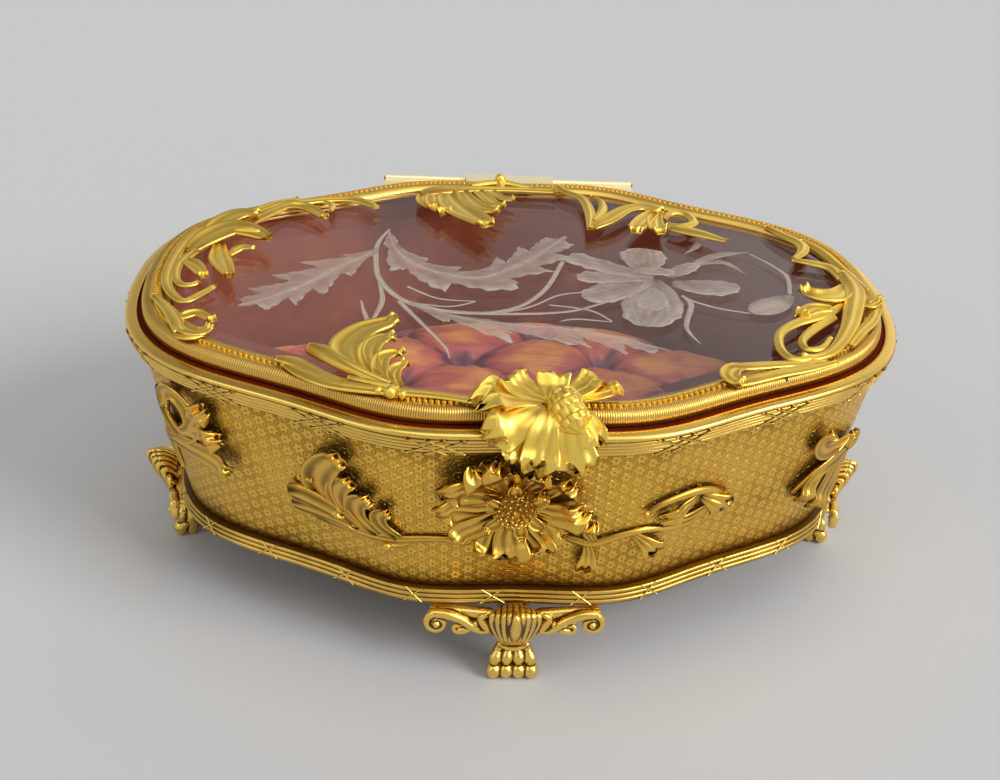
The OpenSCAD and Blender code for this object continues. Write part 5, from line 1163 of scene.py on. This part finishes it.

# %% [markdown]
# On the pad the colour is painted by how the surface lies: gold on the crowns and on faces turned up,
# a painted sheen, and mauve in the folds and hollows, a painted shade. The colour mixes by that mask and
# a streaky noise, the sheen is warm, and a fine slub, long along the thread, is a bump.

# %% The two silks
def silk_nodes(made, crown_sheen_color, middle_color, fold_shade_color, streak=0.25, thread=(60.0, 900.0, 60.0)):
    """Colour by the point mask, which on the pad paints sheen on the crowns and shade in the folds (the lining has no
    mask, so its colours mix by noise alone), streaks along the thread, and the weave's bump.
    """
    mat, tree, shader, _ = made
    where = put(tree, "ShaderNodeTexCoord").outputs["Object"]
    drawn = put(tree, "ShaderNodeMapping", {"Vector": where, "Scale": thread}).outputs[0]
    slub = put(tree, "ShaderNodeTexNoise", {"Vector": drawn, "Scale": 1.0, "Detail": 3.0}).outputs[0]
    patch = put(tree, "ShaderNodeTexNoise", {"Vector": where, "Scale": 70.0, "Detail": 3.0}).outputs[0]
    lie = put(tree, "ShaderNodeAttribute", attribute_name="surface_mark").outputs["Fac"]
    level = calc(tree, "ADD", lie, calc(tree, "MULTIPLY", calc(tree, "SUBTRACT", patch, 0.5), 1.5))
    low = blend_colors(tree, spread(tree, level, 0.05, 0.55), fold_shade_color, middle_color)
    both = blend_colors(tree, spread(tree, level, 0.6, 1.15), low, crown_sheen_color)
    dark = spread(tree, slub, 0.3, 0.7, 1.0 - streak, 1.0)
    tree.links.new(blend_colors(tree, 1.0, both, put(tree, "ShaderNodeCombineColor", {0: dark, 1: dark, 2: dark}).outputs[0], "MULTIPLY"), shader.inputs["Base Color"])
    weave = put(tree, "ShaderNodeBump", {"Height": slub, "Distance": 0.00012, "Strength": 0.6})
    tree.links.new(weave.outputs[0], shader.inputs["Normal"])
    return mat


# On the pad the first colour is a painted sheen on the crowns and the last a painted shade in the folds.
silk_nodes(silk, (0.68, 0.275, 0.09, 1), (0.46, 0.095, 0.085, 1), (0.14, 0.028, 0.065, 1))
lining_silk = silk_nodes(
    new_material("lining silk", Roughness=0.5, Sheen_Weight=0.15, Sheen_Roughness=0.4, Sheen_Tint=(1.0, 0.5, 0.2, 1)),
    (0.46, 0.15, 0.035, 1), (0.32, 0.088, 0.024, 1), (0.19, 0.042, 0.02, 1), 0.06, (25.0, 25.0, 700.0))

# A thin strip of very dark red silk lies in the rim below the lid. Its dark colour is painted shade:
# it stands for the gap between lid and rim, which shows dark red-brown.
shaded_gap_silk = silk_nodes(new_material("dark silk painting the gap's shade", Roughness=0.8, Specular_IOR_Level=0.04), (0.15, 0.018, 0.002, 1), (0.1, 0.01, 0.0015, 1), (0.05, 0.004, 0.001, 1), 0.1, (25.0, 25.0, 25.0))
gap_strip_section = rounded([[4.15, 99.35], [4.2, 99.6], [4.9, 99.85], [8.6, 99.85], [8.8, 99.35]], [0, 0.1, 0.3, 0.2, 0], 4)
make_piece("silk_strip_painting_gap_shade", sweep(gap_strip_section, 360), "casket", shaded_gap_silk)

# %% [markdown]
# Each foot is one casting: a paw with four toes and knuckles, a fluted palmette for a knee, and
# a scroll bracket to each side that carries the base moulding. It is made as a founder's model
# is, from many small rolls of wax laid over each other; a voxel remesh then melts them into one
# skin. Because the remesh gives new points, the wear mask is measured from the finished shape.

# %% Rolls of wax in the foot's own space
def wax_roll(path, flat=1.0, n=30, m=14, ref=(0.0, 1.0, 0.0)):
    """Tube through (u, w, z, r): u along the wall, w out from it, z up. Its section is a circle of
    radius r, flattened along the reference direction by flat; both ends are round."""
    s = np.asarray(path, float)
    e = np.concatenate([s[:1], s, s[-1:]])
    t = np.linspace(0, len(s) - 1, n)
    k = np.minimum(t.astype(int), len(s) - 2)
    f = (t - k)[:, None]
    p0, p1, p2, p3 = e[k], e[k + 1], e[k + 2], e[k + 3]
    rows = 0.5 * (2 * p1 + (p2 - p0) * f + (2 * p0 - 5 * p1 + 4 * p2 - p3) * f**2 + (3 * p1 - 3 * p2 + p3 - p0) * f**3)
    way = np.gradient(rows[:, :3], axis=0)
    way /= np.linalg.norm(way, axis=1, keepdims=True)
    h = np.linspace(-1, 1, 7)[1:-1][:, None]
    first, last = rows[:1], rows[-1:]
    cap_h = np.sin(np.linspace(-math.pi / 2, 0, 6))[1:-1, None]
    head = np.concatenate([first[:, :3] + way[:1] * cap_h * first[:, 3:4], first[:, 3:4] * np.sqrt(1 - cap_h**2)], 1)
    tail = np.concatenate([last[:, :3] - way[-1:] * cap_h[::-1] * last[:, 3:4], last[:, 3:4] * np.sqrt(1 - cap_h[::-1] ** 2)], 1)
    rows = np.concatenate([head, rows, tail])
    way = np.concatenate([np.repeat(way[:1], len(head), 0), way, np.repeat(way[-1:], len(tail), 0)])
    across = np.cross(way, ref)
    across /= np.maximum(np.linalg.norm(across, axis=1, keepdims=True), 1e-6)
    up = np.cross(across, way)
    p = np.arange(m) * 2 * np.pi / m
    ring = np.cos(p)[None, :, None] * across[:, None] + flat * np.sin(p)[None, :, None] * up[:, None]
    points = rows[:, None, :3] + rows[:, 3][:, None, None] * ring
    ends = np.stack([rows[0, :3] - way[0] * rows[0, 3] * 0.1, rows[-1, :3] + way[-1] * rows[-1, 3] * 0.1])
    count = len(rows)
    quads, _ = grid(count, m, False, True)
    j = np.arange(m)
    tris = np.concatenate([np.stack([np.full(m, count * m), (j + 1) % m, j], -1),
                           np.stack([np.full(m, count * m + 1), (count - 1) * m + j, (count - 1) * m + (j + 1) % m], -1)])
    return shell(np.concatenate([points.reshape(-1, 3), ends]), quads, tris)


def scroll_path(centre, start, turns, r0, r1, w, thick, thin, n=16):
    """Spiral in the plane of the wall: the radius falls evenly from r0 to r1 over the turns."""
    t = np.linspace(0, 1, n)
    p = math.radians(start) + turns * 2 * math.pi * t
    r = r0 + (r1 - r0) * t
    return [(centre[0] + r[k] * math.cos(p[k]), w, centre[1] + r[k] * math.sin(p[k]), thick + (thin - thick) * t[k]) for k in range(n)]


foot_rolls = []
for u in (-5.6, -1.9, 1.9, 5.6):
    foot_rolls.append(wax_roll([(u * 1.06, 3.5, 2.4, 2.1), (u * 1.03, 3.5, 3.3, 2.4), (u, 2.4, 4.6, 2.1)], 1.0, ref=(1, 0, 0)))
    foot_rolls.append(wax_roll([(u * 0.98, 2.9, 7.2, 1.9), (u * 0.95, 2.9, 8.3, 2.05), (u * 0.88, 2.3, 9.6, 1.7)], 1.0, ref=(1, 0, 0)))
    foot_rolls.append(wax_roll([(u * 0.8, 1.8, 10.8, 1.3), (u * 0.56, 1.8, 14.6, 1.1), (u * 0.56, 2.6, 17.0, 0.9)], 1.0, ref=(1, 0, 0)))
foot_rolls.append(wax_roll([(0, -1.4, 2.2, 2.2), (0, -0.8, 7, 4.0), (0, -0.6, 11, 3.4), (0, -0.2, 14, 3.0), (0, 0.6, 18, 4.0), (0, 2.0, 22, 5.0), (0, 2.4, 25, 4.8), (0, 2.6, 27.2, 4.0)], 1.0))
foot_rolls.append(wax_roll([(-4.8, -0.4, 2, 2), (-4.4, -0.2, 7, 2.3), (-3.0, 0, 11, 2.3)]))
foot_rolls.append(wax_roll([(4.8, -0.4, 2, 2), (4.4, -0.2, 7, 2.3), (3.0, 0, 11, 2.3)]))
for k in range(-4, 5):
    lean = k / 4
    side_drop = lean * lean
    foot_rolls.append(wax_roll([
        (lean * 2.6, 3.2, 14.4, 0.9), (lean * 4.4, 6.2 - 1.2 * side_drop, 18.6, 1.2), (lean * 6.0, 7.8 - 2.2 * side_drop, 23.4 - 0.4 * side_drop, 1.4),
        (lean * 6.8, 9.8 - 3.4 * side_drop, 28.2 - 1.6 * side_drop, 1.4), (lean * 6.9, 11.4 - 4.4 * side_drop, 31.6 - 3.0 * side_drop, 1.25),
        (lean * 6.8, 9.8 - 3.4 * side_drop, 32.8 - 3.4 * side_drop, 1.1), (lean * 6.4, 6.6 - 1.8 * side_drop, 32.0 - 3.4 * side_drop, 1.0), (lean * 6.0, 3.4, 30.2 - 3.0 * side_drop, 0.9)], 1.0))
foot_rolls.append(wax_roll([(0, 7.6, 20.0, 0.9), (0, 9.4, 24.0, 1.7), (0, 10.8, 27.8, 1.9), (0, 12.6, 31.2, 1.4), (0, 11.8, 32.9, 1.1), (0, 8.4, 33.0, 1.0)]))
foot_rolls.append(wax_roll([(-4.2, 2.6, 13.8, 0.9), (-1.5, 3.8, 13.2, 1.1), (1.5, 3.8, 13.2, 1.1), (4.2, 2.6, 13.8, 0.9)]))
for g in (-1, 1):
    foot_rolls.append(wax_roll([(g * 6.4, 3.8, 23, 1.6), (g * 9.4, 4.0, 21.0, 1.5), (g * 12.6, 3.8, 22.0, 1.5), (g * 16.5, 3.4, 25.0, 1.6), (g * 21.5, 3.2, 27.0, 1.7), (g * 26.2, 3.0, 27.0, 1.6)], 1.0))
    foot_rolls.append(wax_roll([(g * p[0], p[1], p[2], p[3]) for p in scroll_path((24.6, 23.8), 60, -1.35, 3.6, 1.0, 3.4, 1.35, 0.9, 20)], 1.2, 50))
    foot_rolls.append(wax_roll([(g * 6.0, 3.4, 19.4, 1.2), (g * 8.8, 4.2, 22.6, 1.5), (g * 10.4, 4.6, 26.4, 1.2), (g * 9.0, 4.9, 27.8, 0.9)]))
    foot_rolls.append(wax_roll([(g * 12.0, 3.6, 23.0, 1.3), (g * 15.4, 3.8, 21.0, 1.3), (g * 18.2, 3.8, 20.8, 1.1), (g * 18.8, 3.9, 22.6, 0.8), (g * 17.2, 3.9, 23.0, 0.7)]))
    foot_rolls.append(wax_roll([(g * 8, 0.6, 24.6, 2.4), (g * 16, 0.4, 26.0, 1.9), (g * 26, 0.2, 27.2, 1.3)]))
    foot_rolls.append(wax_roll([(g * 24.6, 3.0, 23.8, 1.5), (g * 24.6, 4.6, 23.8, 1.2)], ref=(1, 0, 0)))
foot_model = merged(foot_rolls)
foot_model["uv"] = None


def worn(obj, tight=1.4, passes=3):
    """Wear mask from the shape: at each point, how far it stands out from the mean of its
    neighbours, measured along its normal in parts of an edge's length, smoothed a few times."""
    mesh = obj.data
    p = vertices_of(mesh)
    flat = np.empty(len(p) * 3, np.float32)
    mesh.vertices.foreach_get("normal", flat)
    normal = flat.reshape(-1, 3)
    e = np.empty(len(mesh.edges) * 2, np.int32)
    mesh.edges.foreach_get("vertices", e)
    e = e.reshape(-1, 2)
    count = np.bincount(e.ravel(), minlength=len(p))[:, None]

    def neighbours(values):
        total = np.zeros_like(values)
        for k in range(values.shape[1]):
            total[:, k] = np.bincount(e[:, 0], values[e[:, 1], k], len(p)) + np.bincount(e[:, 1], values[e[:, 0], k], len(p))
        return total / np.maximum(count, 1)

    out = ((p - neighbours(p)) * normal).sum(1, keepdims=True)
    out /= np.linalg.norm(p[e[:, 0]] - p[e[:, 1]], axis=1).mean()
    for _ in range(passes):
        out = 0.5 * out + 0.5 * neighbours(out)
    mark = np.clip(0.5 + out[:, 0] * 10 * tight, 0, 1)
    for name in [n.name for n in mesh.attributes if n.name == "surface_mark"]:
        mesh.attributes.remove(mesh.attributes[name])
    mesh.attributes.new("surface_mark", "FLOAT", "POINT").data.foreach_set("value", mark.astype(np.float32))
    return mark


# %% The four feet
for side, degrees in (("front", 270), ("back", 90), ("left", 180), ("right", 0)):
    a = math.radians(degrees)
    reach = float(np.linalg.norm(plan(np.array(a))))
    placed = dict(foot_model)
    f = foot_model["p"]
    placed["p"] = inset(a + f[:, 0] / reach, 12 - f[:, 1], np.clip(f[:, 2], 0.0, np.where(f[:, 1] > 2.0, 36.0, 28.0)))
    paw = make_piece("paw_foot_" + side, placed, "casket", gilt_foot, stands_for=("foot_" + side,))
    melt = paw.modifiers.new("melted together", "REMESH")
    melt.mode = "VOXEL"
    melt.voxel_size = 0.00034
    melt.use_smooth_shade = True
    apply_modifiers(paw)
    worn(paw)
    print("paw_foot_" + side, "has", len(paw.data.polygons), "faces after melting")

# %% [markdown]
# At even distances the reeds of both mouldings are bound by crossed ribbons. Each ribbon is a
# narrow band that climbs the reeds on a slant, so its middle line runs straight in the moulding's
# own measure: along by s, and from the top reed to the bottom one by t.

# %% Crossed ribbon ties
def on_reeds(top, low, s, t, lift):
    """Point on the slope from top to low (inset, z), at s along the outline and t down it, moved
    out from the slope by lift."""
    top, low = np.array(top, float), np.array(low, float)
    way = (low - top) / np.linalg.norm(low - top)
    ins = top[0] + (low[0] - top[0]) * t + way[1] * lift
    z = top[1] + (low[1] - top[1]) * t - way[0] * lift
    return inset(at_length(s), ins, z)


def ribbon(top, low, s0, s1, half, lift):
    """Band from (s0, top) to (s1, low): half wide, rounded across, thin edges pressed down."""
    n, m = 18, 7
    u = np.linspace(-0.04, 1.04, n)[:, None]
    v = np.linspace(-1, 1, m)[None]
    s = s0 + (s1 - s0) * u + v * half
    high = lift + 0.3 * (1 - v**2) + 0 * u
    upper = on_reeds(top, low, s, u + 0 * v, high)
    lower = on_reeds(top, low, s[:, ::-1], u + 0 * v, 0 * high)
    loop = np.concatenate([upper, lower], 1)
    quads, _ = grid(n, 2 * m, False, True)
    caps = [[row * 2 * m + k, row * 2 * m + k + 1, row * 2 * m + 2 * m - 2 - k, row * 2 * m + 2 * m - 1 - k][:: 1 if row else -1] for row in (0, n - 1) for k in range(m - 1)]
    mark = np.concatenate([1.0 - 0.95 * np.abs(v) ** 1.5 + 0 * u, 0.0 * v + 0 * u], 1)
    return shell(loop.reshape(-1, 3), np.concatenate([quads, caps]), mark=mark)


def ties(name, top, low, spacing, first, wide, half, pairs, lift):
    """Crossed ties all round, one every spacing or so, the first at a given distance. A tie has
    one or more pairs of ribbons side by side; each ribbon leans by wide to either side, and
    half is half its own width. Its edges lie lift above the slope."""
    count = round(GIRTH / spacing)
    made = []
    for k in range(count):
        for pair in range(pairs):
            s = first + k * GIRTH / count + pair * 1.1 * wide
            made.append(ribbon(top, low, s - wide, s + wide, half, lift))
            made.append(ribbon(top, low, s + wide, s - wide, half, lift + 0.12))
    make_piece(name, merged(made), "casket", gilt_mould)


front_at = float(np.interp(1.5 * np.pi, _turn, _length))
ties("rim_ribbon_ties", (0.35, 98.2), (2.4, 92.8), 36.0, front_at + 8, 5.2, 0.8, 2, 0.62)
ties("base_ribbon_ties", (13.3, 33.4), (12.1, 29.1), 28.0, front_at - 7, 3.4, 0.6, 1, 0.45)

# %% [markdown]
# Some parts of the frame have the right shape already: the hinge strips and their pins, the
# screws, the wooden floor, the card under the pad and the lining. They keep their meshes and get
# finishes that read Object coordinates, because they have no UV map.

# %% Wood and card
def plain_finish(name, one, two, scale, stretch, rough, bump):
    """Two colours mixed by a stretched noise, with the same noise as a bump."""
    mat, tree, shader, _ = new_material(name, Roughness=rough)
    where = put(tree, "ShaderNodeTexCoord").outputs["Object"]
    drawn = put(tree, "ShaderNodeMapping", {"Vector": where, "Scale": stretch}).outputs[0]
    noise = put(tree, "ShaderNodeTexNoise", {"Vector": drawn, "Scale": scale, "Detail": 6.0, "Distortion": 0.6}).outputs[0]
    tree.links.new(blend_colors(tree, spread(tree, noise, 0.35, 0.65), one, two), shader.inputs["Base Color"])
    b = put(tree, "ShaderNodeBump", {"Height": noise, "Distance": bump, "Strength": 0.7})
    tree.links.new(b.outputs[0], shader.inputs["Normal"])
    return mat


floor_wood = plain_finish("stained floor board", (0.16, 0.075, 0.03, 1), (0.3, 0.16, 0.07, 1), 30.0, (1.0, 9.0, 1.0), 0.6, 0.0002)
card = plain_finish("lining card", (0.42, 0.34, 0.24, 1), (0.5, 0.42, 0.31, 1), 400.0, (1.0, 1.0, 1.0), 0.9, 0.00008)
dress(["floor_plate"], floor_wood)
dress(["lining_board"], card)
dress(["lining_wall"], lining_silk)
dress(["hinge_body_leaves", "hinge_lid_leaf"], hinge_painted_highlight)
dress(["hinge_pin", "hinge_body_screws", "hinge_lid_pins", "foot_screws", "wall_mount_pins", "lid_mount_pins"], steel_pin)

# %% [markdown]
# The box stands on a plain pale floor under soft light: a wide lamp on the right, a weaker one on
# the left and one above. The world is the background's grey near the horizon and darker overhead,
# as a studio's ceiling is, which gives the metal something to mirror. Lamps and world together
# light a level surface to about 1, so a colour renders about as it is written.

# %% Floor, world, lamps
BACK = 0.556
a = np.linspace(0, 2 * np.pi, 97)[:-1]
disc = bpy.data.meshes.new("floor")
disc.from_pydata([(3 * math.cos(t), 3 * math.sin(t), 0.0) for t in a], [], [list(range(96))])
floor_mat, tree, shader, _ = new_material("pale floor", Roughness=0.85, Base_Color=(BACK, BACK, BACK, 1))
shader.inputs["Specular IOR Level"].default_value = 0.2
disc.materials.append(floor_mat)
floor = bpy.data.objects.new("floor", disc)
scene.collection.objects.link(floor)

world = bpy.data.worlds.new("studio")
world.use_nodes = True
tree = world.node_tree
tree.nodes.clear()
facing = put(tree, "ShaderNodeSeparateXYZ", {0: put(tree, "ShaderNodeTexCoord").outputs["Generated"]}).outputs
level = spread(tree, facing[2], 0.1, 0.9, BACK, 0.2)
wall_right = calc(tree, "MULTIPLY", spread(tree, facing[0], 0.0, 0.28, 0.0, 0.46), spread(tree, facing[1], 0.1, 0.6))
level = calc(tree, "ADD", level, wall_right)
gray = put(tree, "ShaderNodeBackground", {"Color": put(tree, "ShaderNodeCombineColor", {0: level, 1: level, 2: level}).outputs[0], "Strength": 1.0})
put(tree, "ShaderNodeOutputWorld", {"Surface": gray.outputs[0]})
scene.world = world


def sun(name, toward, angle, level):
    """A sun whose disc is angle degrees wide, so that its shadows are soft. toward is the way to
    the sun; level is how bright it makes a white floor, as a share of full white."""
    back = np.array(toward, float)
    back /= np.linalg.norm(back)
    data = bpy.data.lights.new(name, "SUN")
    data.angle, data.energy = math.radians(angle), level * math.pi / back[2]
    obj = bpy.data.objects.new(name, data)
    right = np.cross([0.0, 1.0, 0.0], back)
    right /= np.linalg.norm(right)
    m = np.eye(4)
    m[:3, 0], m[:3, 1], m[:3, 2] = right, np.cross(back, right), back
    obj.matrix_world = Matrix(m.tolist())
    scene.collection.objects.link(obj)


sun("wide lamp right", (0.95, -0.6, 0.72), 28, 0.36)
sun("lamp left", (-0.8, -0.5, 0.7), 30, 0.05)
sun("lamp above", (0.1, -0.3, 1.0), 60, 0.28)

# %% The camera
cam_data = bpy.data.cameras.new("camera")
cam_data.sensor_width, cam_data.lens = 36.0, 50.75
cam_data.shift_x, cam_data.shift_y = -0.0547, 0.05575
cam_data.clip_start, cam_data.clip_end = 0.01, 20.0
camera = bpy.data.objects.new("camera", cam_data)
az, el, roll = (math.radians(v) for v in (-5.22, 33.0, 3.862))
back = np.array([math.sin(az) * math.cos(el), -math.cos(az) * math.cos(el), math.sin(el)])
where = np.array([0.01646, 0.0, 0.03814]) + 0.5126 * back
right = np.cross(-back, [0.0, 0.0, 1.0])
right /= np.linalg.norm(right)
up = np.cross(right, -back)
m = np.eye(4)
m[:3, 0] = math.cos(roll) * right + math.sin(roll) * up
m[:3, 1] = -math.sin(roll) * right + math.cos(roll) * up
m[:3, 2], m[:3, 3] = back, where
camera.matrix_world = Matrix(m.tolist())
scene.collection.objects.link(camera)
scene.camera = camera
scene.view_settings.view_transform = "Standard"
